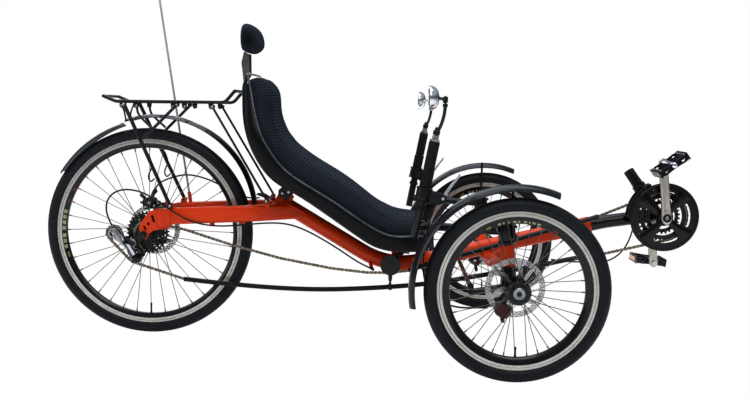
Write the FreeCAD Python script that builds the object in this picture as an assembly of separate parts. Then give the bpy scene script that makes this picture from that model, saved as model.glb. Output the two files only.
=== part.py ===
import FreeCAD, Part
import math
import os
from FreeCAD import Vector

# Recumbent tricycle: two steered wheels in front, one chain-driven wheel behind, seat between.
# Millimetres. X runs forward from the rear axle, Y to the rider's left, Z up from the ground.
# The export shifts everything back in X so that the trike is centred on its length.
# Places in the side view are (x, z) pairs. Paired pieces are built on the right, at negative Y.

# ---------------------------------------------------------------- driving dimensions
REAR_RADIUS = 320.0           # outside of the rear tyre
FRONT_RADIUS = 245.0          # outside of the front tyres
WHEELBASE = 1081.0            # rear axle to front axles
TRACK_HALF = 424.0            # centre plane to front wheel plane
REAR_AXLE = (0.0, REAR_RADIUS)
FRONT_AXLE = (WHEELBASE, FRONT_RADIUS)
FRONT_Y = -TRACK_HALF
AXLE_RADIUS = 6.0
RUN = 0.06                    # radial running clearance
AXLE_BORE = AXLE_RADIUS + RUN
TYRE_WIDTH = 40.0
TYRE_WALL = 3.0
RIM_WIDTH = 24.0
FLANGE_HEIGHT = 8.0           # rim flange above the bead seat
SPOKE_COUNT = 36
SPOKE_RADIUS = 1.0
NIPPLE_RADIUS = 1.9
NIPPLE_LENGTH = 11.0
ROTOR_RADIUS = 80.0
ROTOR_THICK = 2.0
ROTOR_GAP = 1.5               # calliper slot beyond the rotor rim

CRANK_AXIS = (1568.5, 401.7)  # bottom bracket centre
CRANK_LENGTH = 165.0
CRANK_ANGLE = 96.3            # right arm, degrees up from forward
SPINDLE_RADIUS = 8.5
PEDAL_AXLE_RADIUS = 7.0
GUARD_RADIUS = 103.0          # chain guard

CHAIN_PITCH = 12.7
CHAIN_Y = -46.0
RING_TEETH = (48, 36, 26)     # outermost first; the chain runs on the middle one
RING_PITCH = 7.5
COG_TEETH = (11, 13, 15, 18, 21, 24, 28, 32)
DRIVE_COG = 18                # cog the chain runs on
COG_PITCH = 4.8
IDLER = (749.3, 237.3)
IDLER_TEETH = 12
GUIDE = (-30.0, 259.0)        # upper jockey wheel
TENSION = (-99.0, 319.0)      # rear jockey wheel
JOCKEY_TEETH = 11
IDLER_AXLE_RADIUS = 4.0
JOCKEY_AXLE_RADIUS = 3.0

MAIN_RADIUS = 24.0
BOOM_RADIUS = 20.0
STAY_Y = 80.0
DROPOUT_Y = 67.5              # inner face of each dropout
KINGPIN_Y = 343.0
KINGPIN_LOW = (1066.0, 297.0)   # head tube lower end
KINGPIN_HIGH = (1060.0, 354.5)  # head tube upper end
HEAD_RADIUS = 21.0
STEERER_RADIUS = 14.3
BAR_RADIUS = 11.1
LEG_FOOT = (86.0, 411.0)      # carrier leg bolt on the dropout
STRUT_FOOT = (373, 430)       # carrier strut bolt on the stay
POLE_Y = 79.0                 # flag pole line
POLE_DIR = Vector(-0.1459, 0, 0.9893)

SIDES = (-1, 1)               # right, left
ALONG_Y = Vector(0, 1, 0)
LENGTH_MIDDLE = (CRANK_AXIS[0] + GUARD_RADIUS - REAR_RADIUS) / 2.0


# ---------------------------------------------------------------- helpers
def pitch_radius(teeth):
    return CHAIN_PITCH / (2.0 * math.sin(math.pi / teeth))


def vec(point):
    return Vector(float(point[0]), float(point[1]), float(point[2]))


def at_y(place, y):
    """Side-view place (x, z) set at the given y."""
    return Vector(place[0], y, place[1])


def polar(centre, radius, angle):
    """Side-view place at a radius and an angle in radians, from forward toward up."""
    return (centre[0] + radius * math.cos(angle), centre[1] + radius * math.sin(angle))


def cyl(start, end, radius):
    start = vec(start)
    axis = vec(end) - start
    return Part.makeCylinder(radius, axis.Length, start, axis)


def cyl_y(centre, y0, y1, radius):
    """Crosswise cylinder about a side-view centre."""
    return cyl(at_y(centre, y0), at_y(centre, y1), radius)


def tube(start, end, outer, inner):
    start = vec(start)
    axis = vec(end) - start
    unit = Vector(axis).normalize()
    bore = Part.makeCylinder(inner, axis.Length + 2, start - unit, axis)
    return Part.makeCylinder(outer, axis.Length, start, axis).cut(bore)


def box(x0, x1, y0, y1, z0, z1):
    return Part.makeBox(x1 - x0, y1 - y0, z1 - z0, Vector(x0, y0, z0))


def fuse(shapes):
    return shapes[0].multiFuse(shapes[1:])


def largest(shape):
    return max(shape.Solids, key=lambda solid: solid.Volume)


def place_tilted(shape, position, tilt):
    """Turn a shape about +Y by tilt degrees and move its origin to position."""
    shape.Placement = FreeCAD.Placement(position, FreeCAD.Rotation(ALONG_Y, tilt))
    return shape


def turn(shape, centre, angle):
    """Turn about a crosswise line; a positive angle lifts forward toward up."""
    shape.rotate(at_y(centre, 0), Vector(0, -1, 0), angle)
    return shape


def side_face(outline, y):
    corners = [at_y(p, y) for p in outline]
    return Part.Face(Part.makePolygon(corners + [corners[0]]))


def prism_y(outline, y0, y1):
    """Side-view polygon carried from y0 to y1."""
    return side_face(outline, y0).extrude(Vector(0, y1 - y0, 0))


def bent(points, bend):
    """Polyline wire with rounded corners; bend is one radius or one per corner."""
    points = [vec(p) for p in points]
    count = len(points)
    if not isinstance(bend, (list, tuple)):
        bend = [bend] * (count - 2)
    edges = []
    current = points[0]
    for i in range(1, count - 1):
        corner = points[i]
        back = (points[i - 1] - corner).normalize()
        ahead = (points[i + 1] - corner).normalize()
        half_angle = back.getAngle(ahead) / 2
        radius = bend[i - 1]
        setback = radius / math.tan(half_angle)
        arc_start = corner + back * setback
        arc_end = corner + ahead * setback
        bisector = (back + ahead).normalize()
        middle = corner + bisector * (radius / math.sin(half_angle) - radius)
        if (arc_start - current).Length > 1e-4:
            edges.append(Part.makeLine(current, arc_start))
        edges.append(Part.Arc(arc_start, middle, arc_end).toShape())
        current = arc_end
    if (points[-1] - current).Length > 1e-4:
        edges.append(Part.makeLine(current, points[-1]))
    return Part.Wire(edges)


def circle_wire(centre, normal, radius):
    return Part.Wire(Part.makeCircle(radius, vec(centre), normal))


def rod(points, radius, bend):
    """Round bar along a bent centre line."""
    profile = circle_wire(points[0], vec(points[1]) - vec(points[0]), radius)
    return bent(points, bend).makePipeShell([profile], True, False)


def rounded_rectangle(centre, across, upward, width, height, radius):
    """Rounded rectangle wire, width along across and height along upward."""
    across = Vector(across).normalize()
    upward = Vector(upward).normalize()
    inset = radius * (1 - math.sqrt(0.5))
    w, h = width / 2.0, height / 2.0
    corners = [  # arc start, arc middle, arc end
        ((w - radius, -h), (w - inset, -h + inset), (w, -h + radius)),
        ((w, h - radius), (w - inset, h - inset), (w - radius, h)),
        ((-w + radius, h), (-w + inset, h - inset), (-w, h - radius)),
        ((-w, -h + radius), (-w + inset, -h + inset), (-w + radius, -h)),
    ]
    corners = [[centre + across * a + upward * b for a, b in arc] for arc in corners]
    edges = []
    previous = corners[-1][2]
    for start, middle, end in corners:
        edges.append(Part.makeLine(previous, start))
        edges.append(Part.Arc(start, middle, end).toShape())
        previous = end
    return Part.Wire(edges)


def flat_bar(points, bend, width, depth, corner):
    """Rounded rectangular bar along a bent line, its width crosswise at the start."""
    start = vec(points[0])
    upward = (vec(points[1]) - start).cross(ALONG_Y)
    profile = rounded_rectangle(start, ALONG_Y, upward, width, depth, corner)
    return bent(points, bend).makePipeShell([profile], True, True)


def spline(points, periodic=False):
    curve = Part.BSplineCurve()
    curve.interpolate([vec(p) for p in points], PeriodicFlag=periodic)
    return curve


def spline_rod(points, radius, bore=None):
    curve = spline(points)
    wire = Part.Wire(curve.toShape())
    heading = curve.tangent(curve.FirstParameter)[0]
    shape = wire.makePipeShell([circle_wire(points[0], heading, radius)], True, False)
    if bore:
        inside = wire.makePipeShell([circle_wire(points[0], heading, bore)], True, False)
        shape = shape.cut(inside)
    return shape


def revolve(outline, centre, y_shift=0.0, start=0.0, stop=360.0):
    """Closed (radius, y) outline turned about the crosswise line through centre.
    An entry ("via", radius, y) is a point on the arc to the next entry."""
    def in_plane(radius, y):
        return Vector(centre[0] + radius, y_shift + y, centre[1])

    edges = []
    current = in_plane(*outline[0])
    via = None
    for entry in outline[1:] + outline[:1]:
        if entry[0] == "via":
            via = in_plane(entry[1], entry[2])
            continue
        point = in_plane(*entry)
        if via is None:
            edges.append(Part.makeLine(current, point))
        else:
            edges.append(Part.Arc(current, via, point).toShape())
        current = point
        via = None
    face = Part.Face(Part.Wire(edges))
    shape = face.revolve(at_y(centre, 0), Vector(0, -1, 0), stop - start)
    if start:
        turn(shape, centre, start)
    if shape.Volume < 0:
        shape.reverse()
    return shape


def annulus(centre, inner, outer, y0, y1, start=0.0, stop=360.0):
    outline = [(inner, y0), (outer, y0), (outer, y1), (inner, y1)]
    return revolve(outline, centre, start=start, stop=stop)


def radial_bar(centre, inner, outer, y0, y1, half_width, angle):
    x, z = centre
    bar = box(x + inner, x + outer, y0, y1, z - half_width, z + half_width)
    return turn(bar, centre, angle)


def link_plate(start, end, half_widths, boss_radii, y0, y1):
    """Tapered flat link between two side-view places, with a round boss at each."""
    first, last = at_y(start, 0), at_y(end, 0)
    along = (last - first).normalize()
    normal = Vector(-along.z, 0, along.x)
    corners = [first + normal * half_widths[0], last + normal * half_widths[1],
               last - normal * half_widths[1], first - normal * half_widths[0]]
    return fuse([prism_y([(p.x, p.z) for p in corners], y0, y1),
                 cyl_y(start, y0, y1, boss_radii[0]), cyl_y(end, y0, y1, boss_radii[1])])


def loft(wires):
    return Part.makeLoft(wires, True, False)


def as_list(shapes):
    return shapes if isinstance(shapes, (list, tuple)) else [shapes]


parts = {}


def add(name, shapes):
    parts[name] = [solid for shape in as_list(shapes) for solid in (shape.Solids or [shape])]


def add_pair(name, shapes):
    """Right-hand shapes and their mirror image on the left."""
    add(name + "_right", shapes)
    add(name + "_left", [s.mirror(Vector(0, 0, 0), ALONG_Y) for s in as_list(shapes)])


# ---------------------------------------------------------------- wheels
def tyre(centre, wheel_y, outer, bead):
    half = TYRE_WIDTH / 2.0
    flange = bead + FLANGE_HEIGHT + 0.4
    neck = bead + FLANGE_HEIGHT + 1.6
    drop = outer - half - neck     # neck below the centre of the tyre section
    outer_y = math.sqrt(half ** 2 - drop ** 2)
    inner_y = math.sqrt((half - TYRE_WALL) ** 2 - drop ** 2)
    outline = [
        (bead, -9.4), (flange, -9.4), (neck, -outer_y), ("via", outer, 0), (neck, outer_y),
        (flange, 9.4), (bead, 9.4), (bead, 6.6), (flange, 6.6), (neck, inner_y),
        ("via", outer - TYRE_WALL, 0), (neck, -inner_y), (flange, -6.6), (bead, -6.6)]
    return revolve(outline, centre, wheel_y)


def rim(centre, wheel_y, bead, inner):
    half = RIM_WIDTH / 2.0
    outer = bead + FLANGE_HEIGHT
    outline = [
        (outer, -half), (outer, -9.6), (bead, -9.6), (bead, -6.5), (bead - 4, -5),
        (bead - 4, 5), (bead, 6.5), (bead, 9.6), (outer, 9.6), (outer, half),
        (outer - 14, half), (outer - 20, half - 0.8), (inner + 4, 7), (inner, 4),
        (inner, -4), (inner + 4, -7), (outer - 20, -half + 0.8), (outer - 14, -half)]
    return revolve(outline, centre, wheel_y)


def spoke(start, end):
    """Spoke with its nipple at the rim end."""
    axis = end - start
    neck = axis.Length - NIPPLE_LENGTH
    outline = [(0, 0), (SPOKE_RADIUS, 0), (SPOKE_RADIUS, neck), (NIPPLE_RADIUS, neck),
               (NIPPLE_RADIUS, axis.Length), (0, axis.Length)]
    up = Vector(0, 0, 1)
    shape = side_face(outline, 0).revolve(Vector(0, 0, 0), up, 360)
    shape.Placement = FreeCAD.Placement(start, FreeCAD.Rotation(up, axis))
    return shape


def spokes(centre, wheel_y, hub_radius, flanges_y, rim_radius, crossings):
    """Laced spokes; neighbours at a flange lean opposite ways and sit either side of it."""
    shapes = []
    per_side = SPOKE_COUNT // 2
    step = 2 * math.pi / SPOKE_COUNT
    for side, flange_y in enumerate(flanges_y):
        outward = 1 if flange_y > 0 else -1
        for k in range(per_side):
            lean = 1 if k % 2 == 0 else -1
            rim_angle = (2 * k + side) * step
            hub_angle = rim_angle + lean * crossings * math.pi / per_side
            hub_y = wheel_y + flange_y + 2.6 * lean * outward
            start = at_y(polar(centre, hub_radius, hub_angle), hub_y)
            end = at_y(polar(centre, rim_radius, rim_angle), wheel_y + outward * 1.5)
            shapes.append(spoke(start, end))
    return shapes


def rotor(centre, y0, bore):
    """Brake disc: friction ring, centre ring and six arms."""
    y1 = y0 + ROTOR_THICK
    shapes = [annulus(centre, ROTOR_RADIUS - 15, ROTOR_RADIUS, y0, y1),
              annulus(centre, bore, bore + 12, y0, y1)]
    for k in range(6):
        shapes.append(radial_bar(centre, bore + 8, ROTOR_RADIUS - 12, y0, y1, 4, -60 * k))
    return fuse(shapes)


def cassette():
    """Eight cogs in one turned piece, smallest outermost on the right."""
    first_y = CHAIN_Y - COG_PITCH * COG_TEETH.index(DRIVE_COG)
    half = 0.9                     # half thickness of a cog
    outline = [(AXLE_BORE, first_y - 1.6), (14, first_y - 1.6), (14, first_y - half)]
    last = len(COG_TEETH) - 1
    for i, teeth in enumerate(COG_TEETH):
        y = first_y + COG_PITCH * i
        radius = pitch_radius(teeth) + 2.2
        core = 17.0 if i < last else 18.0
        outline += [(radius, y - half), (radius, y + half), (core, y + half)]
        if i < last:
            outline.append((core, first_y + COG_PITCH * (i + 1) - half))
    outline += [(18.0, -24.0), (AXLE_BORE, -24.0)]
    return revolve(outline, REAR_AXLE)


def rear_axle():
    """Axle with a nut outside and a spacer inside each dropout."""
    shapes = [cyl_y(REAR_AXLE, -84, 84, AXLE_RADIUS)]
    for side, spacer_y in zip(SIDES, (-62.6, 60.2)):
        shapes.append(cyl_y(REAR_AXLE, side * 76.0, side * 83, 11))
        shapes.append(cyl_y(REAR_AXLE, spacer_y, side * DROPOUT_Y, 10.5))
    return fuse(shapes)


# Hub outlines: radius, y from the wheel plane
REAR_HUB = [
    (AXLE_BORE, -23.5), (14, -23.5), (14, -22), (29, -21.5), (29, -18.5), (15, -17), (15, 29),
    (29, 30.5), (29, 33.5), (20, 35), (20, 48), (12, 48), (12, 60), (AXLE_BORE, 60)]
FRONT_HUB = [
    (AXLE_BORE, 46), (15, 46), (15, 39), (24, 39), (24, 35), (15, 33), (15, 28), (33, 27.6),
    (33, 24.4), (15, 23), (15, -23), (33, -24.4), (33, -27.6), (21, -28), (21, -34),
    (16, -34), (16, -38), (AXLE_BORE, -38)]
REAR_BEAD = 279.5              # bead seat radii
FRONT_BEAD = 203.0

add("rear_tyre", tyre(REAR_AXLE, 0, REAR_RADIUS, REAR_BEAD))
add("rear_rim", rim(REAR_AXLE, 0, REAR_BEAD, inner=259.0))
add("rear_spokes", spokes(REAR_AXLE, 0, hub_radius=25.0, flanges_y=(-20.0, 32.0),
                          rim_radius=260.5, crossings=3))
add("rear_hub", revolve(REAR_HUB, REAR_AXLE))
add("rear_rotor", rotor(REAR_AXLE, y0=48.2, bore=12.6))
add("cassette", cassette())
add("rear_axle", rear_axle())

add_pair("front_tyre", tyre(FRONT_AXLE, FRONT_Y, FRONT_RADIUS, FRONT_BEAD))
add_pair("front_rim", rim(FRONT_AXLE, FRONT_Y, FRONT_BEAD, inner=177.0))
add_pair("front_spokes", spokes(FRONT_AXLE, FRONT_Y, hub_radius=28.0, flanges_y=(-26.0, 26.0),
                                rim_radius=178.5, crossings=2))
add_pair("front_hub", revolve(FRONT_HUB, FRONT_AXLE, FRONT_Y))
add_pair("front_rotor", rotor(FRONT_AXLE, y0=FRONT_Y + 39.0, bore=15.4))

# ---------------------------------------------------------------- main frame, one weldment
MAIN_LINE = [(391, 0, 428.4), (745.5, 0, 220), (1358, 0, 365.9)]
BOOM_MOUTH = vec(MAIN_LINE[2])
BOOM_DIR = (vec(MAIN_LINE[2]) - vec(MAIN_LINE[1])).normalize()
KINGPIN_DIR = (at_y(KINGPIN_HIGH, 0) - at_y(KINGPIN_LOW, 0)).normalize()
MITRE_ANGLE = 30.45            # slope of the main tube behind its bend, degrees
MITRE_NORMAL = (0.507, 0.862)
MITRE_LIFT = 13

DROPOUT_OUTLINE = [
    (78, 399), (42, 400), (17, 390), (-2, 365), (-14, 342), (-11, 326), (-5, 308), (8, 306),
    (17, 323), (30.5, 333), (53, 337), (70, 338), (87, 351), (87, 400)]
DROPOUT_THICK_OUTLINE = [
    (84, 402), (62, 401), (50, 396), (43, 380), (43, 354), (60, 345), (84, 351)]
# Relief slots: centre x, centre z, lean in degrees, half length between end centres
DROPOUT_SLOTS = ((4, 340, 25, 3), (15, 353, 0, 0.5), (29, 368, 15, 8))
SLOT_RADIUS = 4.2
LEG_TAB = [(75, 396), (97, 396), (94, 411), (78, 411)]
STRUT_TAB = [(363, 408), (383, 408), (379, 431), (367, 431)]
CALLIPER_LUG = [(44, 392), (22, 388), (-2, 366), (-10, 380), (4, 396), (30, 404)]
SEAT_LUG = [(404, 440), (412, 456), (420, 456), (446, 436), (440, 418)]
CABLE_GUIDES = ((210, 362.5), (300, 367))


def chain_stay(side):
    """Flat-sided tube forward from the dropout and in to the main tube."""
    line = [(66, side * STAY_Y, 377.5), (330, side * STAY_Y, 392), (498, side * -2.8, 396)]
    stay = flat_bar(line, 90.0, width=28, depth=50, corner=11)
    corner = Vector(MAIN_LINE[0][0] + MITRE_LIFT * MITRE_NORMAL[0], 0,
                    MAIN_LINE[0][2] + MITRE_LIFT * MITRE_NORMAL[1])
    mitre = place_tilted(box(-300, 300, -80, 80, 0, 120), corner, MITRE_ANGLE)
    return stay.cut(mitre)


def dropout(side):
    """Plate with relief slots and a thicker pad where the stay ends."""
    plate = prism_y(DROPOUT_OUTLINE, side * DROPOUT_Y, side * (DROPOUT_Y + 8.4))
    pad = prism_y(DROPOUT_THICK_OUTLINE, side * (DROPOUT_Y + 1), side * (STAY_Y + 6))
    plate = plate.fuse(pad)
    for x, z, lean, half_length in DROPOUT_SLOTS:
        lean_x = half_length * math.sin(math.radians(lean))
        lean_z = half_length * math.cos(math.radians(lean))
        for end in (-1, 1):
            centre = (x - end * lean_x, z + end * lean_z)
            plate = plate.cut(cyl_y(centre, side * 60, side * 100, SLOT_RADIUS))
        if half_length > 3:        # only the long slot needs its middle cut out
            middle = box(-SLOT_RADIUS, SLOT_RADIUS, -50, 50, -half_length, half_length)
            plate = plate.cut(place_tilted(middle, Vector(x, side * 80, z), -lean))
    return plate.cut(cyl_y(REAR_AXLE, side * 60, side * 100, AXLE_RADIUS))


def frame_side(side):
    """Stay, dropout, carrier bosses, cross member and head tube of one side."""
    cross_member = [(1046, 0, 265), (1046, side * 105, 266), (1056, side * KINGPIN_Y, 327)]
    return [
        chain_stay(side),
        dropout(side),
        cyl_y(LEG_FOOT, side * 75, side * 86, 8),
        prism_y(LEG_TAB, side * 75, side * 86),
        cyl_y(STRUT_FOOT, side * 62, side * 74, 7),
        prism_y(STRUT_TAB, side * 62, side * 74),
        rod(cross_member, 18.0, 200),
        cyl(at_y(KINGPIN_LOW, side * KINGPIN_Y), at_y(KINGPIN_HIGH, side * KINGPIN_Y),
            HEAD_RADIUS),
    ]


def main_frame():
    shapes = [rod(MAIN_LINE, MAIN_RADIUS, 240.0)]
    # end collar with its pinch lug
    shapes.append(Part.makeCylinder(MAIN_RADIUS + 2.0, 26, BOOM_MOUTH - BOOM_DIR * 24, BOOM_DIR))
    lug = box(-13, 13, -6, 6, 0, 16)
    lug.Placement = FreeCAD.Placement(BOOM_MOUTH - BOOM_DIR * 11 - Vector(0, 0, 38),
                                      FreeCAD.Rotation(Vector(1, 0, 0), BOOM_DIR))
    shapes.append(lug)
    for side in SIDES:
        shapes += frame_side(side)
    # flag socket and calliper lug on the left
    shapes.append(cyl((109, POLE_Y, 396), (103.2, POLE_Y, 436), 5.6))
    shapes.append(prism_y(CALLIPER_LUG, DROPOUT_Y, DROPOUT_Y + 7))
    for side in SIDES:
        shapes.append(prism_y(SEAT_LUG, side * 13 - 3, side * 13 + 3))
    # block on the main tube at the idler, and the idler boss
    shapes.append(box(752, 788, -9, 9, 245, 276))
    shapes.append(cyl_y(IDLER, -18, -31, 13))
    for x, z in CABLE_GUIDES:
        shapes.append(box(x - 7, x + 7, -STAY_Y - 3, -STAY_Y + 3, z - 8, z + 4))
    weldment = fuse(shapes)
    # bores: kingpins, carrier legs, flag socket, boom socket, axle
    for side in SIDES:
        base = at_y(KINGPIN_LOW, side * KINGPIN_Y)
        weldment = weldment.cut(Part.makeCylinder(STEERER_RADIUS + 1.5, 90,
                                                  base - KINGPIN_DIR * 15, KINGPIN_DIR))
        weldment = weldment.cut(cyl_y(LEG_FOOT, side * 60, side * 100, 3.0))
    weldment = weldment.cut(Part.makeCylinder(3.3, 60, Vector(105.3, POLE_Y, 419.5), POLE_DIR))
    weldment = weldment.cut(Part.makeCylinder(BOOM_RADIUS, 130,
                                              BOOM_MOUTH - BOOM_DIR * 120, BOOM_DIR))
    return weldment.cut(cyl_y(REAR_AXLE, -100, 100, AXLE_RADIUS))


frame = main_frame()
add("main_frame", frame)

# ---------------------------------------------------------------- boom and front mech
CRANK_CENTRE = at_y(CRANK_AXIS, 0)
POST_ANGLE = math.radians(126)
POST_DIR = Vector(math.cos(POST_ANGLE), 0, math.sin(POST_ANGLE))
POST_SLEEVE_RADIUS = 16.4      # lower part of the accessory post
POST_RADIUS = 15.9             # free end of the accessory post
# Front mech cage pieces: inner radius, outer radius, y0, y1, start and stop angles
MECH_CAGE = (
    (86, 110, -58.2, -56.7, 114, 183),
    (82, 110, -36.6, -35.1, 114, 183),
    (106, 110, -57.5, -36, 118, 126),
    (106, 110, -57.5, -36, 178, 183),
)


def front_boom():
    """Boom with bottom bracket shell, accessory post and two bearing cups."""
    knee = BOOM_MOUTH + BOOM_DIR * 51.7
    bore = SPINDLE_RADIUS + RUN
    boom = fuse([
        rod([BOOM_MOUTH - BOOM_DIR * 118, knee, CRANK_CENTRE], BOOM_RADIUS, 400),
        cyl_y(CRANK_AXIS, -34, 34, 22.0),
        Part.makeCylinder(POST_SLEEVE_RADIUS, 130, CRANK_CENTRE, POST_DIR),
        Part.makeCylinder(POST_RADIUS, 165, CRANK_CENTRE, POST_DIR)])
    boom = boom.cut(Part.makeCylinder(13.9, 60, CRANK_CENTRE + POST_DIR * 120, POST_DIR))
    boom = boom.cut(cyl_y(CRANK_AXIS, -40, 40, bore))
    cups = [tube(at_y(CRANK_AXIS, side * 34), at_y(CRANK_AXIS, side * 37), 21, bore)
            for side in SIDES]
    return [boom] + cups


def front_derailleur():
    """Clamp on the post, link and a two-plate cage over the rings."""
    clamp = CRANK_CENTRE + POST_DIR * 104
    pivot = (clamp.x + 8, clamp.z - 9)
    band = Part.makeCylinder(20, 16, clamp - POST_DIR * 8, POST_DIR)
    band = band.cut(Part.makeCylinder(POST_SLEEVE_RADIUS, 30, clamp - POST_DIR * 15, POST_DIR))
    block = box(clamp.x - 4, clamp.x + 20, -33, -19.0, clamp.z - 16, clamp.z - 2)
    shapes = [band, block.fuse(cyl_y(pivot, -33, -19.5, 9))]
    for piece in MECH_CAGE:
        shapes.append(annulus(CRANK_AXIS, *piece))
    shapes.append(cyl_y(pivot, -36, -32, 6))
    return fuse(shapes)


add("front_boom", front_boom())
add("front_derailleur", front_derailleur())

# ---------------------------------------------------------------- crankset
RIGHT_PEDAL = polar(CRANK_AXIS, CRANK_LENGTH, math.radians(CRANK_ANGLE))
LEFT_PEDAL = polar(CRANK_AXIS, -CRANK_LENGTH, math.radians(CRANK_ANGLE))
SPIDER_ANGLES = [CRANK_ANGLE + 45 + 90 * k for k in range(4)]


def crank_arm(pedal_axis, y0, y1):
    return link_plate(CRANK_AXIS, pedal_axis, (17, 12), (19, 14), y0, y1)


def crankset():
    """Both arms, the spindle and the four-armed spider with its ring bolts."""
    shapes = [
        cyl_y(CRANK_AXIS, -75, -57, 22),
        crank_arm(RIGHT_PEDAL, -87, -75),
        crank_arm(LEFT_PEDAL, 75, 87),
        cyl_y(CRANK_AXIS, -88, 88, SPINDLE_RADIUS),
        cyl_y(CRANK_AXIS, 75, 50, 15),
        cyl_y(CRANK_AXIS, -57, -40, 15)]
    for angle in SPIDER_ANGLES:
        shapes.append(radial_bar(CRANK_AXIS, 10, 56, -65, -57, 9, angle))
        shapes.append(cyl_y(polar(CRANK_AXIS, 52, math.radians(angle)), -62, -43.5, 5))
    cranks = fuse(shapes)
    for axis, y0, y1 in ((RIGHT_PEDAL, -95, -60), (LEFT_PEDAL, 60, 95)):
        cranks = cranks.cut(cyl_y(axis, y0, y1, PEDAL_AXLE_RADIUS + RUN))
    return cranks


def chainrings():
    """Three rings and the chain guard, which has four inward tabs."""
    rings = []
    for teeth, lane, inner in zip(RING_TEETH, (-1, 0, 1), (47.0, 45.0, 16.0)):
        y = CHAIN_Y + lane * RING_PITCH
        rings.append(annulus(CRANK_AXIS, inner, pitch_radius(teeth) + 2.4, y - 1, y + 1))
    rings[-1] = rings[-1].cut(cyl_y(CRANK_AXIS, -60, -30, 16))
    guard = [annulus(CRANK_AXIS, 84, GUARD_RADIUS, -63, -58.8)]
    for angle in SPIDER_ANGLES:
        guard.append(radial_bar(CRANK_AXIS, 56, 88, -62.5, -58.8, 13, angle))
    return rings + [fuse(guard)]


def pedal(axis, side, tilt):
    """Platform pedal: body with its spindle, and two reflector bars."""
    x, z = axis
    low, high = sorted((side * 97, side * 188))
    body = box(x - 48, x + 48, low, high, z - 12, z + 12)
    body = body.cut(box(x - 40, x - 14, low + 10, high - 10, z - 20, z + 20))
    body = body.cut(box(x + 14, x + 40, low + 10, high - 10, z - 20, z + 20))
    spindle = cyl_y(axis, side * 68, side * 97, PEDAL_AXLE_RADIUS)
    spindle = spindle.fuse(cyl_y(axis, side * 88, side * 96, 10))
    shapes = [fuse([body, spindle]),
              box(x - 51, x - 48, low + 16, high - 16, z - 8, z + 8),
              box(x + 48, x + 51, low + 16, high - 16, z - 8, z + 8)]
    return [turn(shape, axis, tilt) for shape in shapes]


add("crankset", crankset())
add("chainrings", chainrings())
add("pedal_right", pedal(RIGHT_PEDAL, -1, tilt=37.0))
add("pedal_left", pedal(LEFT_PEDAL, 1, tilt=-6.0))

# ---------------------------------------------------------------- chain and its tubes
# Side-view points along the chain, in its order of travel round the loop
UPPER_SAG = [(120.0, 333.0), (256.0, 291.0), (412.5, 250.5), (569.0, 222.5), (680.0, 211.5)]
UPPER_TUBE = [
    (806.0, 220.5), (870.0, 243.5), (953.0, 268.5), (1006.0, 284.0), (1080.0, 306.5),
    (1157.0, 331.5), (1261.0, 362.5), (1330.0, 383.5), (1374.0, 398.5)]
LOWER_TUBE = [
    (1359.0, 275.5), (1319.0, 270.5), (1226.0, 250.0), (1130.0, 230.0), (1049.0, 214.5),
    (962.0, 198.0), (853.0, 180.0), (808.0, 174.5), (703.0, 165.0), (532.0, 156.5),
    (336.0, 162.0), (116.0, 180.0)]
CHAIN_HALF_HEIGHT = 4.0
CHAIN_PLATES_Y = ((-3.2, -1.5), (1.5, 3.2))   # from the chain plane
CHAIN_MIN_STEP = 0.5           # closer points are merged
GUIDE_RUB = 9.0                # lower run passes the guide wheel this far outside its pitch


def circle_tangent(centre1, radius1, centre2, radius2):
    """Ends of the tangent from circle 1 to circle 2; a radius is positive where
    the wheel centre lies on the right of the chain's travel."""
    dx, dz = centre2[0] - centre1[0], centre2[1] - centre1[1]
    heading = math.atan2(dz, dx) + math.asin((radius2 - radius1) / math.hypot(dx, dz))
    normal = heading + math.pi / 2
    return polar(centre1, radius1, normal), polar(centre2, radius2, normal)


def point_tangent(point, centre, radius, leaving):
    """Tangent point on a circle for a straight run to (leaving) or from a point."""
    dx, dz = point[0] - centre[0], point[1] - centre[1]
    offset = math.acos(abs(radius) / math.hypot(dx, dz))
    sign = 1 if (radius > 0) == leaving else -1
    return polar(centre, abs(radius), math.atan2(dz, dx) + sign * offset)


def arc_points(centre, start, end, clockwise=True, step=9.0):
    """Points round a circle from start to end, about step degrees apart."""
    angle0 = math.atan2(start[1] - centre[1], start[0] - centre[0])
    angle1 = math.atan2(end[1] - centre[1], end[0] - centre[0])
    if clockwise:
        while angle1 > angle0:
            angle1 -= 2 * math.pi
    else:
        while angle1 < angle0:
            angle1 += 2 * math.pi
    sweep = angle1 - angle0
    count = max(2, int(abs(sweep) * 180 / math.pi / step))
    radius = math.hypot(start[0] - centre[0], start[1] - centre[1])
    return [polar(centre, radius, angle0 + sweep * i / count) for i in range(count + 1)]


def resample(points, count):
    curve = spline([at_y(p, 0) for p in points])
    return [(p.x, p.z) for p in curve.discretize(Number=count)]


def distance(first, second):
    return math.hypot(first[0] - second[0], first[1] - second[1])


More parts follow.
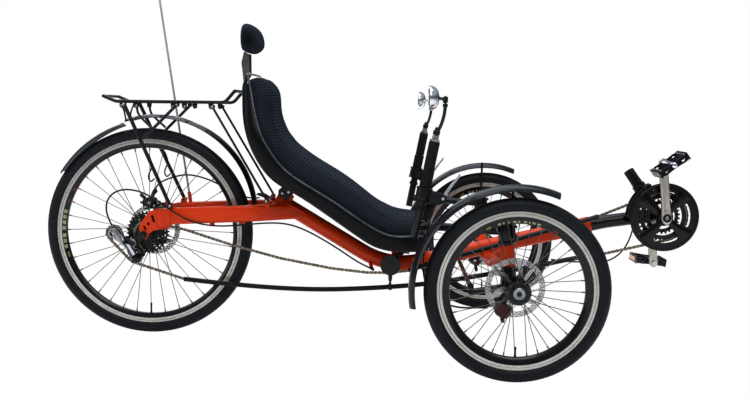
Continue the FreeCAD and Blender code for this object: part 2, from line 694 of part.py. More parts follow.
def chain_path():
    """Closed centre line of the chain, from the top of the drive cog."""
    cog = pitch_radius(DRIVE_COG)
    ring = pitch_radius(RING_TEETH[1])
    idler = pitch_radius(IDLER_TEETH)
    jockey = pitch_radius(JOCKEY_TEETH)
    rub = jockey + GUIDE_RUB

    cog_off = point_tangent(UPPER_SAG[0], REAR_AXLE, cog, leaving=True)
    idler_on = point_tangent(UPPER_SAG[-1], IDLER, -idler, leaving=False)
    idler_off = point_tangent(UPPER_TUBE[0], IDLER, -idler, leaving=True)
    ring_on = point_tangent(UPPER_TUBE[-1], CRANK_AXIS, ring, leaving=False)
    ring_off = point_tangent(LOWER_TUBE[0], CRANK_AXIS, ring, leaving=True)
    rub_on = point_tangent(LOWER_TUBE[-1], GUIDE, rub, leaving=False)
    rub_off, tension_on = circle_tangent(GUIDE, rub, TENSION, jockey)
    tension_off, guide_on = circle_tangent(TENSION, jockey, GUIDE, -jockey)
    guide_off, cog_on = circle_tangent(GUIDE, -jockey, REAR_AXLE, cog)

    path = [cog_off] + UPPER_SAG
    path += arc_points(IDLER, idler_on, idler_off, clockwise=False)
    path += resample(UPPER_TUBE, 16)
    path += arc_points(CRANK_AXIS, ring_on, ring_off)
    path += resample(LOWER_TUBE, 34)
    path += arc_points(GUIDE, rub_on, rub_off, step=12)
    path += arc_points(TENSION, tension_on, tension_off, step=12)
    path += arc_points(GUIDE, guide_on, guide_off, clockwise=False, step=12)
    path += arc_points(REAR_AXLE, cog_on, cog_off)[:-1]

    spaced = [path[0]]
    for point in path[1:]:
        if distance(point, spaced[-1]) > CHAIN_MIN_STEP:
            spaced.append(point)
    if distance(spaced[0], spaced[-1]) < CHAIN_MIN_STEP:
        spaced.pop()
    return spaced


def offset_loop(points, offset):
    """Closed loop moved sideways, positive to the left of travel, with mitred corners."""
    moved = []
    for i, (x, z) in enumerate(points):
        before, after = points[i - 1], points[(i + 1) % len(points)]
        arriving = Vector(x - before[0], z - before[1], 0).normalize()
        departing = Vector(after[0] - x, after[1] - z, 0).normalize()
        normal = Vector(-arriving.y, arriving.x, 0)
        mitre = (normal + Vector(-departing.y, departing.x, 0)).normalize()
        reach = offset / max(0.5, mitre.dot(normal))
        moved.append((x + mitre.x * reach, z + mitre.y * reach))
    return moved


def chain():
    """Two continuous side plates following the chain line."""
    path = chain_path()
    left = side_face(offset_loop(path, CHAIN_HALF_HEIGHT), 0)
    right = side_face(offset_loop(path, -CHAIN_HALF_HEIGHT), 0)
    large, small = (left, right) if left.Area > right.Area else (right, left)
    band = large.cut(small)
    plates = []
    for y0, y1 in CHAIN_PLATES_Y:
        plate = band.copy()
        plate.translate(Vector(0, CHAIN_Y + y0, 0))
        plates.append(plate.extrude(Vector(0, y1 - y0, 0)))
    return plates


add("chain", chain())
add("chain_tubes", [spline_rod([at_y(p, CHAIN_Y) for p in line], 7.2, bore=5.9)
                    for line in (UPPER_TUBE, LOWER_TUBE)])


# ---------------------------------------------------------------- pulleys and frame fittings
def pulley(centre, teeth, axle_radius):
    """Thin toothed disc, drawn round, on a wider boss."""
    bore = axle_radius + RUN
    outer = pitch_radius(teeth) + 2.0
    boss, half_disc, half_boss = 9.5, 1.0, 4.4
    outline = [(bore, -half_boss), (boss, -half_boss), (boss, -half_disc), (outer, -half_disc),
               (outer, half_disc), (boss, half_disc), (boss, half_boss), (bore, half_boss)]
    return revolve(outline, centre, CHAIN_Y)


def idler_mount():
    """Idler axle and discs, with a hanger down to a loop round the lower chain tube."""
    x, z = IDLER
    loop_z = 168.6
    hanger = [(x - 7, z - 24), (x + 7, z - 24), (x + 5, z - 47), (x - 5, z - 47)]
    return fuse([
        cyl_y(IDLER, -31.1, -60, IDLER_AXLE_RADIUS),
        cyl_y(IDLER, -60, -54, 30.5),
        cyl_y(IDLER, -60.5, -64, 9),
        cyl_y(IDLER, -31.2, -37, 12),
        prism_y(hanger, -60, -54),
        cyl_y((x, z - 44), -60, -36, 5),
        tube((x - 5, CHAIN_Y, loop_z), (x + 5, CHAIN_Y, loop_z + 0.9), 10.2, 7.25),
        cyl((x, -54, z - 46), (x, -54, loop_z + 5), 3.5)])


def head_cup(end, outward):
    """Flanged bearing cup; outward is the flange's direction and thickness."""
    cup = Part.makeCylinder(HEAD_RADIUS + 1.0, outward.Length, end, outward)
    cup = cup.fuse(Part.makeCylinder(STEERER_RADIUS + 1.45, 18, end, outward * -1))
    return cup.cut(Part.makeCylinder(STEERER_RADIUS + RUN, 60, end - outward * 3, outward))


def frame_fittings():
    """Idler mount, head tube cups and the two ends of the boom pinch bolt."""
    shapes = [idler_mount()]
    for side in SIDES:
        shapes.append(head_cup(at_y(KINGPIN_LOW, side * KINGPIN_Y), KINGPIN_DIR * -6.0))
        shapes.append(head_cup(at_y(KINGPIN_HIGH, side * KINGPIN_Y), KINGPIN_DIR * 10.0))
    bolt = BOOM_MOUTH - BOOM_DIR * 11 - Vector(0, 0, 31)
    for y0, y1 in ((-12, -6.0), (6.0, 12)):
        shapes.append(cyl_y((bolt.x, bolt.z), y0, y1, 4.5))
    return shapes


add("idler_pulley", pulley(IDLER, IDLER_TEETH, IDLER_AXLE_RADIUS))
add("guide_pulley", pulley(GUIDE, JOCKEY_TEETH, JOCKEY_AXLE_RADIUS))
add("tension_pulley", pulley(TENSION, JOCKEY_TEETH, JOCKEY_AXLE_RADIUS))
add("frame_fittings", frame_fittings())

# ---------------------------------------------------------------- rear mech and rear calliper
HANGER_BOLT = (-29.5, 291.0)
HANGER = [(-11, 330), (-2, 305), (-20, 283), (-34, 281), (-40, 292), (-30, 305)]
MECH_KNUCKLE = [(-26, 300), (-22, 286), (-62, 303), (-74, 313), (-66, 326), (-52, 318)]
MECH_LINK = [(-80, 312), (-66, 324), (-12, 262), (-26, 250)]

CALLIPER_ARM = [
    (-16, 412), (-6, 404), (6, 420), (4, 436), (-8, 444), (-14, 440), (-4, 432), (-4, 424)]
CALLIPER_BLOCK = [(-44, 400), (-28, 398), (-24, 410), (-46, 408)]
CALLIPER_FOOT = [(-30, 400), (28, 404), (34, 397), (8, 384), (-10, 381), (-24, 386)]


def rear_derailleur():
    """Knuckle, parallelogram link, jockey cage and frame hanger."""
    shapes = [
        cyl_y(HANGER_BOLT, -74, -82, 9),
        prism_y(MECH_KNUCKLE, -82, -75.6),
        cyl_y((-72, 318), -70, -92, 11),
        cyl((-78, -81, 330), (-92, -81, 345), 5),
        prism_y(MECH_LINK, -92, -84),
        cyl_y((-24, 254), -52.2, -92, 13)]
    for y0, y1 in ((-52.4, -50.8), (-41.2, -39.6)):
        shapes.append(link_plate(GUIDE, TENSION, (9, 7), (13, 13), y0, y1))
    for axle in (GUIDE, TENSION):
        shapes.append(cyl_y(axle, -52, -40, JOCKEY_AXLE_RADIUS))
    hanger = prism_y(HANGER, -DROPOUT_Y - 6.0, -DROPOUT_Y)
    return fuse(shapes + [hanger.cut(frame).cut(parts["rear_axle"][0])])


def rear_caliper():
    centre = at_y(polar(REAR_AXLE, 83, math.radians(99)), 0)
    body = fuse([
        place_tilted(box(-22, 22, 39, 66, -18, 15), centre, -9),
        prism_y(CALLIPER_ARM, 56, 61),
        prism_y(CALLIPER_BLOCK, 52, 62),
        cyl_y((-2, 437), 54, 66, 5.5),
        prism_y(CALLIPER_FOOT, 60.5, DROPOUT_Y)])
    body = body.cut(cyl_y(REAR_AXLE, 46.9, 51.5, ROTOR_RADIUS + ROTOR_GAP))
    return largest(body.cut(frame))


add("rear_derailleur", rear_derailleur())
add("rear_caliper", rear_caliper())

# ---------------------------------------------------------------- seat
# Stations from the top of the back to the front edge:
# shell underside, rolled edge, cushion face, half width
SEAT_STATIONS = [
    ((308, 778), (322, 800), (352, 812), 130),
    ((309, 736), (337, 740), (391, 762), 156),
    ((314, 678), (357, 664), (394, 692), 178),
    ((326, 623), (374, 620), (412, 643), 188),
    ((350, 566), (396, 584), (436, 608), 191),
    ((402, 499), (430, 540), (462, 584), 192),
    ((464, 462), (486, 497), (512, 549), 193),
    ((557, 403), (580, 441), (606, 493), 193),
    ((652, 338), (676, 378), (694, 427), 192),
    ((698, 311), (716, 356), (728, 408), 191),
    ((745, 298), (752, 344), (762, 396), 190),
    ((815, 296), (818, 344), (822, 387), 186),
    ((858, 298), (860, 338), (864, 378), 170),
]
# The cushion stops a little short of the shell at both ends
CUSHION_STATIONS = [
    ((316, 780), (327, 794), (352, 806), 124),
    *SEAT_STATIONS[1:-1],
    ((852, 299), (854, 338), (858, 374), 166),
]
SEAT_PLATE = [
    (401, 446), (402, 458), (414, 469), (428, 482), (446, 468), (446, 451), (439, 436),
    (425, 427), (406, 438)]


def shell_section(floor, edge, half_width, wall=0.0, over=0.0):
    """U outline across the seat: flat floor, round corners, straight top chord.
    wall sets it inside the outer surface; over carries its top past the edge."""
    floor = at_y(floor, 0)
    up = at_y(edge, 0) - floor
    depth = up.Length
    up.normalize()
    base = floor + up * wall
    top = floor + up * (depth + over)
    half = half_width - wall
    corner = min(36.0, depth * 0.75) - wall
    flat = (half - 8) - corner * 0.9
    height = (top - base).Length
    # share of the height, half width, from the floor corner up to the edge
    side = [(0.0, flat), (0.12, half - 14), (0.45, half - 3)]
    points = [top - ALONG_Y * half]
    points += [base + up * (height * share) - ALONG_Y * y for share, y in reversed(side)]
    points.append(base)
    points += [base + up * (height * share) + ALONG_Y * y for share, y in side]
    points.append(top + ALONG_Y * half)
    return Part.Wire([spline(points).toShape(), Part.makeLine(points[-1], points[0])])


def seat_trim(side):
    """Round bead along one rolled edge."""
    points = []
    for floor, edge, _, half_width in SEAT_STATIONS:
        up = (at_y(edge, 0) - at_y(floor, 0)).normalize()
        points.append(at_y(edge, side * (half_width - 1.8)) + up * 3.4)
    return spline_rod(points, 3.3)


def cushion_section(floor, edge, face, half_width):
    """Closed outline across the cushion: flat base, bulging sides, soft-shouldered face."""
    floor = at_y(floor, 0)
    up = at_y(face, 0) - floor
    height = up.Length
    up.normalize()
    edge_height = (at_y(edge, 0) - floor).dot(up)
    rise = height - edge_height
    half = half_width - 9
    base = 9.0                     # base of the cushion above the shell underside
    profile = [  # half width, height
        (half - 44, base), (half - 11, base + (edge_height - base) * 0.4),
        (half - 4, edge_height), (half - 5, edge_height + rise * 0.55),
        (half - 26, edge_height + rise * 0.96), (half - 62, height)]
    outline = [(0, base)] + [(-y, z) for y, z in profile]
    outline += [(0, height)] + profile[::-1]
    points = [floor + up * z + Vector(0, y, 0) for y, z in outline]
    # split at the two widest points, level with the rolled edge
    lower = spline(points[11:] + points[:4])
    upper = spline(points[3:12])
    return Part.Wire([lower.toShape(), upper.toShape()])


def seat_brackets():
    """Bracket behind the bend of the seat, and two props under its front."""
    shapes = []
    for side in SIDES:
        low, high = sorted((side * 16.2, side * 21.2))
        shapes.append(prism_y(SEAT_PLATE, low, high))
        for bolt in ((414, 449), (433, 453)):
            shapes.append(cyl_y(bolt, side * 21.2, side * 25.5, 5))
    shapes.append(place_tilted(box(-26, 26, -42, 42, -3, 3), Vector(432, 0, 474), 32))
    pieces = [fuse(shapes).cut(seat_outer).cut(frame)]
    for side in SIDES:
        y = side * 15.5
        prop = cyl((771, y, 260), (815, y, 292), 6.0)
        prop = prop.fuse(cyl_y((771, 260), side * 9.2, side * 25, 7))
        prop = prop.fuse(box(800, 836, y - 10, y + 10, 289, 295.3))
        pieces.append(prop.cut(seat_outer))
    # the cuts may leave slivers, which are dropped
    return [solid for piece in pieces for solid in piece.Solids if solid.Volume > 50]


seat_outer = loft([shell_section(floor, edge, half_width)
                   for floor, edge, _, half_width in SEAT_STATIONS])
seat_inner = loft([shell_section(floor, edge, half_width, wall=4.0, over=1.5)
                   for floor, edge, _, half_width in SEAT_STATIONS])
add("seat_shell", largest(seat_outer.cut(seat_inner)))
add("seat_trim", [seat_trim(side) for side in SIDES])
add("seat_cushion", loft([cushion_section(*station) for station in CUSHION_STATIONS]))
add("seat_brackets", seat_brackets())

# ---------------------------------------------------------------- headrest
STRAP_LINE = [(300, 640), (300, 720), (296, 800), (290, 842), (300, 884)]
STRAP_CHEEK = [(294, 788), (306, 796), (312, 806), (311, 868), (298, 884), (288, 842)]
HEADREST_OUTLINE = [
    (291, 880), (287.5, 915), (291, 947), (302, 960), (322, 956), (340, 940), (350, 912),
    (347, 886), (326, 869), (303, 870)]
HEADREST_CENTRE = (318, 914)
# Pad sections: y, scale of the outline about its centre
HEADREST_SECTIONS = (
    (-112, 0.45), (-106, 0.78), (-88, 0.95), (-50, 1.0), (0, 0.97),
    (50, 1.0), (88, 0.95), (106, 0.78), (112, 0.45))


def headrest_section(y, scale):
    centre_x, centre_z = HEADREST_CENTRE
    points = [Vector(centre_x + (x - centre_x) * scale, y, centre_z + (z - centre_z) * scale)
              for x, z in HEADREST_OUTLINE]
    return Part.Wire(spline(points, periodic=True).toShape())


def headrest_bracket(pad):
    """Bent strap behind the seat back with a cheek plate on each side."""
    line = [at_y(p, 0) for p in STRAP_LINE]
    strap = fuse([
        flat_bar(line, [60, 80, 24], width=46, depth=5, corner=1.5),
        prism_y(STRAP_CHEEK, -22, -18),
        prism_y(STRAP_CHEEK, 18, 22),
        box(298, 308, -12, 12, 690, 704),
        cyl((292, 0, 700), (308, 0, 700), 7)])
    return largest(strap.cut(seat_outer).cut(pad))


headrest_pad = loft([headrest_section(y, scale) for y, scale in HEADREST_SECTIONS])
add("headrest_bracket", headrest_bracket(headrest_pad))
add("headrest_pad", headrest_pad)

# ---------------------------------------------------------------- carrier
RAIL_Y = 70
RAIL_RADIUS = 5.0
LEG_TOP = (-52, 712)
LEG_TOP_Y = 81.1
LEG_FOOT_Y = 92.6
BRACE_Z = 606                  # height where the brace meets the leg


def carrier_deck():
    """Two side rails joined by end bars, four cross bars and two lengthwise bars."""
    shapes = []
    for side in SIDES:
        y = side * RAIL_Y
        rail = [(-117, y, 735), (-80, y, 720), (247, y, 722), (276, y, 756)]
        shapes.append(rod(rail, RAIL_RADIUS, 22))
        shapes.append(Part.makeSphere(RAIL_RADIUS, vec(rail[0])))
        shapes.append(Part.makeSphere(RAIL_RADIUS, vec(rail[-1])))
    for end in ((-117, 735), (276, 756)):
        shapes.append(cyl_y(end, -RAIL_Y, RAIL_Y, RAIL_RADIUS))
    for x in (-66, 30, 125, 215):
        # the bars follow the slight rise of the rails
        shapes.append(cyl_y((x, 720.5 + (x + 80) * 0.0061), -RAIL_Y, RAIL_Y, 4.0))
    for y in (-26, 26):
        shapes.append(cyl((-66, y, 720.6), (215, y, 722), 4.0))
    return fuse(shapes)


def carrier_supports(side):
    """Leg down to the dropout, brace from rail to leg, and strut forward to the stay."""
    top = at_y(LEG_TOP, side * LEG_TOP_Y)
    leg = fuse([cyl(top, at_y(LEG_FOOT, side * LEG_FOOT_Y), 5.5),
                cyl_y(LEG_TOP, side * 75.3, side * 82, 6),
                Part.makeSphere(5.5, top),
                cyl_y(LEG_FOOT, side * 86.2, side * 99, 7.0)])
    share = (LEG_TOP[1] - BRACE_Z) / (LEG_TOP[1] - LEG_FOOT[1])
    x = LEG_TOP[0] + (LEG_FOOT[0] - LEG_TOP[0]) * share
    y = LEG_TOP_Y + (LEG_FOOT_Y - LEG_TOP_Y) * share
    brace = fuse([cyl((107, side * 89.0, 712), (x + 9, side * (y + 3.5), BRACE_Z + 4), 4.5),
                  cyl_y((107, 712), side * 75.3, side * 91, 6)])
    strut = fuse([cyl((211, side * 75, 707), (373, side * 79, 434), 3.4),
                  cyl_y(STRUT_FOOT, side * 74.2, side * 84, 6.5),
                  cyl_y((211, 708.5), side * 65, side * 79, 6)])
    return [leg, largest(brace.cut(leg)), strut.cut(deck)]


deck = carrier_deck()
add("rear_rack", [deck] + carrier_supports(-1) + carrier_supports(1))

# ---------------------------------------------------------------- mudguards
MUDGUARD_WIDTH = 58
MUDGUARD_THICK = 1.8
MUDGUARD_TONGUE = [(369, 427), (376, 433), (352, 446), (334, 445), (331, 441)]
FRONT_MUDGUARD_CENTRE = (1078.0, 243.0)


def mudguard(centre, radius, start, stop, wheel_y=0.0, crown=9.0):
    """Arched strip over a wheel, from start to stop in degrees up from forward."""
    half = MUDGUARD_WIDTH / 2.0
    edge = radius - crown
    inner_edge = edge - MUDGUARD_THICK
    outline = [
        (edge, -half), ("via", radius, 0), (edge, half),
        (inner_edge, half - 0.4), ("via", radius - MUDGUARD_THICK, 0),
        (inner_edge, -half + 0.4)]
    return revolve(outline, centre, wheel_y, start, stop)


def rear_fender():
    """Two strips, a cross bar with tongue at the front and two wire stays at the carrier."""
    front = mudguard((25.6, 372.6), 310.3, 7, 108)
    back = mudguard((40.4, 303.6), 371.8, 109.5, 147.7)
    bar = fuse([cyl_y(STRUT_FOOT, -61.8, 61.8, 3.0), prism_y(MUDGUARD_TONGUE, -9, 9)])
    shapes = [front, back, largest(bar.cut(front).cut(frame))]
    for side in SIDES:
        line = [(-66, side * 20, 664), (-66, side * 34, 690), (-66, side * 66, 714)]
        wire = rod(line, 2.5, 8).cut(front).cut(back).cut(deck)
        shapes.append(largest(wire))
    return shapes


def front_fender():
    """Strip over the wheel and an angle bracket trimmed to its underside."""
    strip = mudguard(FRONT_MUDGUARD_CENTRE, 282.0, 68, 190, FRONT_Y, crown=15.0)
    bracket = fuse([box(1062, 1069, -394.9, -391.4, 432, 530),
                    box(1062, 1069, -394.9, -343, 428.5, 432)])
    outside = cyl_y(FRONT_MUDGUARD_CENTRE, -500, -300, 400)
    outside = outside.cut(cyl_y(FRONT_MUDGUARD_CENTRE, -500, -300, 285))
    bracket = largest(bracket.cut(outside))
    return [strip.cut(bracket), bracket]


add("rear_fender", rear_fender())
add_pair("front_fender", front_fender())

# ---------------------------------------------------------------- steering knuckle and stem
PIVOT_Y = -KINGPIN_Y
HEAD_TOP = at_y(KINGPIN_HIGH, PIVOT_Y)
ARM_END = (968.0, 222.0)       # rear end of the steering arm
HUB_BLOCK = [
    (1050, 272), (1086, 272), (1096, 255), (1096, 236), (1086, 228), (1056, 228), (1048, 240)]
CALLIPER_TAB = [(1062, 236), (1082, 230), (1062, 200), (1046, 196), (1040, 208)]


def steering_knuckle():
    """Kingpin, hub block, stub axle and steering arm with its tie rod pin."""
    foot = at_y(KINGPIN_LOW, PIVOT_Y) - KINGPIN_DIR * 6.1
    arm_end = at_y(ARM_END, PIVOT_Y)
    return fuse([
        Part.makeCylinder(STEERER_RADIUS, 136, foot - KINGPIN_DIR * 14, KINGPIN_DIR),
        Part.makeCylinder(20.0, 26, foot - KINGPIN_DIR * 26, KINGPIN_DIR),
        prism_y(HUB_BLOCK, PIVOT_Y - 20, PIVOT_Y + 16),
        cyl_y(FRONT_AXLE, PIVOT_Y, FRONT_Y + 46.5, 12),
        cyl_y(FRONT_AXLE, PIVOT_Y, FRONT_Y - 39, AXLE_RADIUS),
        cyl((1062, PIVOT_Y, 240), arm_end, 8.5),
        Part.makeSphere(8.5, arm_end),
        Part.makeCylinder(4.0, 24, arm_end, KINGPIN_DIR),
        Part.makeCylinder(7.0, 1.5, arm_end + KINGPIN_DIR * 20.8, KINGPIN_DIR),
        prism_y(CALLIPER_TAB, PIVOT_Y - 17, PIVOT_Y - 9)])


def steering_stem():
    """Sleeve on the kingpin with a four-bolt clamp plate on its front."""
    base = HEAD_TOP + KINGPIN_DIR * 10.2
    bore = Part.makeCylinder(STEERER_RADIUS, 80, base - KINGPIN_DIR * 5, KINGPIN_DIR)
    sleeve = Part.makeCylinder(20, 46, base, KINGPIN_DIR).cut(bore)
    lean = math.degrees(math.atan2(-KINGPIN_DIR.x, KINGPIN_DIR.z))
    plate = place_tilted(box(16, 24, -19, 19, 6, 42), base, -lean)
    bolts = []
    for y in (-13, 13):
        for z in (11, 37):
            bolt = Part.makeCylinder(4, 6, Vector(24, y, z), Vector(1, 0, 0))
            bolt.Placement = plate.Placement.multiply(bolt.Placement)
            bolts.append(bolt)
    return fuse([sleeve, plate.cut(bore)] + bolts)


knuckle = steering_knuckle()
stem = steering_stem()
add_pair("steering_knuckle", [knuckle, stem])

# ---------------------------------------------------------------- handlebar and controls
GRIP_DIR = Vector(0.1839, 0, 0.9829)
GRIP_LINE_POINT = Vector(822, -370, 432)
GRIP_TOP_Z = 628               # upper end of bar and grip
PLUG_Z = 628.2
BAR_LINE = [(1037.8, PIVOT_Y, 391.0), (985, PIVOT_Y - 1, 393), (880, -358, 401),
            (816.2, -370, 400.8)]
LEVER_PIVOT = (884, 478)
LEVER_PIN_RADIUS = 2.5
PERCH_BODY = [(838, 466), (876, 462), (892, 470), (894, 484), (880, 492), (846, 500)]
PERCH_SLOT = [(874, 455), (905, 455), (905, 505), (868, 505), (870, 480)]
LEVER_OUTLINE = [
    (877, 474), (884, 470), (892, 474), (899, 494), (912, 516), (928, 538), (926, 545),
    (918, 544), (903, 524), (890, 502), (879, 486)]
HOSE_LINE = [
    (866, -385.5, 466), (852, -390, 430), (836, -392, 330), (842, -390, 258),
    (870, -388, 215), (936, -386, 189), (985, -372, 186), (1012, -364, 184)]
MIRROR_ARM_LINE = [(864, -373, 650), (872, -378, 668), (880, -385, 695), (883, -388, 722)]
MIRROR_PIN_RADIUS = 3.0


def on_bar(z):
    """Point of the hand-grip line at height z."""
    return GRIP_LINE_POINT + GRIP_DIR * ((z - GRIP_LINE_POINT.z) / GRIP_DIR.z)


def grip_cylinder(z0, z1, radius):
    length = (on_bar(z1) - on_bar(z0)).Length
    return Part.makeCylinder(radius, length, on_bar(z0), GRIP_DIR)


def grip_bore(z0, back, length, radius):
    """Cutter along the grip line that starts back below the point at z0."""
    return Part.makeCylinder(radius, length, on_bar(z0) - GRIP_DIR * back, GRIP_DIR)


def handlebar_tube():
    bar = rod(BAR_LINE, BAR_RADIUS, [120, 160])
    bar = bar.fuse(grip_cylinder(372, GRIP_TOP_Z, BAR_RADIUS))
    return largest(bar.cut(stem))


def lever_perch():
    """Slotted lever clamp with its pivot pin."""
    perch = fuse([grip_cylinder(472, 507, 20.5), prism_y(PERCH_BODY, -381, -359)])
    perch = perch.cut(prism_y(PERCH_SLOT, -375.2, -364.8))
    perch = largest(perch.cut(grip_bore(472, 20, 120, BAR_RADIUS)))
    return perch.fuse(cyl_y(LEVER_PIVOT, -382, -358, LEVER_PIN_RADIUS))


def mirror_arm():
    """Plug on the bar end, curved arm and the upright pin for the mirror head."""
    base = on_bar(PLUG_Z) + GRIP_DIR * 5
    plug = Part.makeCylinder(13, 5, on_bar(PLUG_Z), GRIP_DIR)
    arm = spline_rod([base] + MIRROR_ARM_LINE, 4.5)
    arm = arm.fuse(cyl((883, -388, 718), (883, -388, 748), MIRROR_PIN_RADIUS))
    arm = arm.fuse(cyl((883, -388, 719), (883, -388, 728), 6.5))
    arm = arm.fuse(Part.makeCylinder(6.5, 14, base - GRIP_DIR * 5.0, GRIP_DIR))
    return arm.fuse(plug)


def brake_lever():
    lever = prism_y(LEVER_OUTLINE, -374.8, -365.2)
    lever = lever.fuse(cyl_y(LEVER_PIVOT, -374.8, -365.2, 7))
    return lever.cut(cyl_y(LEVER_PIVOT, -380, -360, LEVER_PIN_RADIUS + RUN))


hose = spline_rod(HOSE_LINE, 2.4)
add_pair("handlebar", [handlebar_tube(), lever_perch(), hose, mirror_arm()])
add_pair("grip", grip_cylinder(552, GRIP_TOP_Z, 14.8).cut(grip_bore(552, 10, 200, BAR_RADIUS)))
add_pair("shifter", grip_cylinder(507.6, 551.5, 16.2).cut(
    grip_bore(507.6, 10, 200, BAR_RADIUS + RUN)))
add_pair("brake_lever", brake_lever())

# Mirror head sections, back to front in travel: x, half width, half height
MIRROR_SECTIONS = ((838, 54, 31), (840, 55.5, 32.5), (850, 54, 31.5), (858, 46, 27),
                   (864, 30, 18))


def mirror_section(x, half_width, half_height):
    ellipse = Part.Ellipse()
    ellipse.MajorRadius = half_width
    ellipse.MinorRadius = half_height
    ellipse.Center = Vector(0, 0, 0)
    wire = Part.Wire(ellipse.toShape())
    facing = FreeCAD.Rotation(Vector(0, 1, 0), Vector(0, 0, 1), Vector(1, 0, 0))
    wire.Placement = FreeCAD.Placement(Vector(x, -440, 741), facing)
    return wire


def mirror_head():
    """Oval head, short link and the eye round the arm's pin."""
    head = fuse([loft([mirror_section(*section) for section in MIRROR_SECTIONS]),
                 cyl((883, -388, 734), (866, -425, 741), 4.5),
                 cyl((883, -388, 730), (883, -388, 746), 7.0)])
    return largest(head.cut(cyl((883, -388, 700), (883, -388, 760), MIRROR_PIN_RADIUS + RUN)))


add_pair("mirror_head", mirror_head())

# ---------------------------------------------------------------- front callipers and tie rod
# Mounting arm of the front calliper: x, z from the calliper centre
CALLIPER_MOUNT = [(-6, -12), (-30, -6), (-56, 4), (-56, 10), (-24, 6), (-4, 8)]


def front_caliper():
    x, z = polar(FRONT_AXLE, 68, math.radians(-117))
    body = place_tilted(box(-19, 19, -396, -360.5, -17, 14), Vector(x, 0, z), 27)
    body = body.fuse(cyl_y((x - 6, z), -360.6, -354, 11))
    body = body.fuse(prism_y([(x + dx, z + dz) for dx, dz in CALLIPER_MOUNT], -359.5, -354.5))
    body = body.cut(cyl_y(FRONT_AXLE, FRONT_Y + 41.8, FRONT_Y + 38.2, ROTOR_RADIUS + ROTOR_GAP))
    body = body.cut(cyl_y(FRONT_AXLE, -500, -300, 46))   # clears the hub
    return largest(body.cut(knuckle).cut(hose))


def tie_rod():
    """Crosswise rod with an eye on each steering arm pin."""
    joint = at_y(ARM_END, PIVOT_Y) + KINGPIN_DIR * 12
    half_length = KINGPIN_Y - 7.6
    shapes = [cyl_y((joint.x, joint.z + 2.0), -half_length, half_length, 6.0)]
    bores = []
    for side, clearance in ((-1, RUN), (1, 0.35)):
        eye = Vector(joint.x, side * KINGPIN_Y, joint.z)
        shapes.append(Part.makeCylinder(9.0, 10, eye - KINGPIN_DIR * 1.5, KINGPIN_DIR))
        bores.append(Part.makeCylinder(4.0 + clearance, 30, eye - KINGPIN_DIR * 10,
                                       KINGPIN_DIR))
    shape = fuse(shapes)
    for bore in bores:
        shape = shape.cut(bore)
    return shape


add_pair("front_caliper", front_caliper())
add("tie_rod", tie_rod())

# ---------------------------------------------------------------- flag and cables
POLE_FOOT = Vector(105.3, POLE_Y, 420)
MECH_CABLE = [
    (-94, -81, 347), (-104, -84, 372), (-109, -85, 402), (-101, -85, 430), (-80, -85, 449),
    (-46, -85, 457), (2, -85, 448), (46, -99, 428), (86, -106, 404), (126, -104, 379),
    (172, -98, 361), (235, -90, 353), (300, -87, 357), (350, -78, 361), (400, -60, 361),
    (440, -42, 354), (482, -30, 338), (546, -28, 305), (600, -28, 272), (649, -28, 241),
    (692, -28, 221)]
REAR_BRAKE_CABLE = [
    (-2, 60, 442), (11, 64, 462), (50, 66, 482), (96, 66, 492), (143, 66, 486),
    (192, 67, 468), (262, 70, 432), (330, 66, 424)]
FRONT_MECH_CABLE = [
    (1240, -32, 262), (1287, -31, 256), (1345, -30, 255), (1404, -30, 258),
    (1450, -30, 285), (1476, -31, 330), (1491, -31, 400), (1507, -28, 466.5)]


def flag_pennant():
    """Thin triangle flying back from the top of the pole."""
    top = POLE_FOOT + POLE_DIR * 1115
    hoist = POLE_DIR * -150
    tip = top + hoist * 0.5 + Vector(-190, 0, -8)
    flag = Part.Face(Part.makePolygon([top, top + hoist, tip, top])).extrude(Vector(0, 1.2, 0))
    flag.translate(Vector(0, -0.6, 0))
    return largest(flag.cut(Part.makeCylinder(3.25, 300, top + hoist * 1.5, POLE_DIR)))


def cable(line, fitting):
    """Cable trimmed where it enters the frame and its end fitting."""
    return largest(spline_rod(line, 2.4).cut(frame).cut(parts[fitting][0]))


add("flag_pole", Part.makeCylinder(3.2, 1130, POLE_FOOT, POLE_DIR))
add("flag_pennant", flag_pennant())
add("cables", [cable(MECH_CABLE, "rear_derailleur"), cable(REAR_BRAKE_CABLE, "rear_caliper"),
               spline_rod(FRONT_MECH_CABLE, 2.2)])

# ---------------------------------------------------------------- export
os.makedirs("parts", exist_ok=True)
for name, solids in parts.items():
    moved = []
    for solid in solids:
        solid = solid.copy()
        solid.translate(Vector(-LENGTH_MIDDLE, 0, 0))
        moved.append(solid)
    shape = moved[0] if len(moved) == 1 else Part.makeCompound(moved)
    shape.exportStep("parts/%s.step" % name)
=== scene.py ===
"""A recumbent tricycle: two front wheels, one driven rear wheel, mesh seat and upright grips.

X runs forward, Y to the rider's left, Z up. Lengths are millimetres with X measured from
the rear axle; make() shifts them to the scene's origin and turns them into metres.
"""
import math

import bpy
import bmesh
import numpy as np
from mathutils import Matrix, Vector
from mathutils.geometry import tessellate_polygon

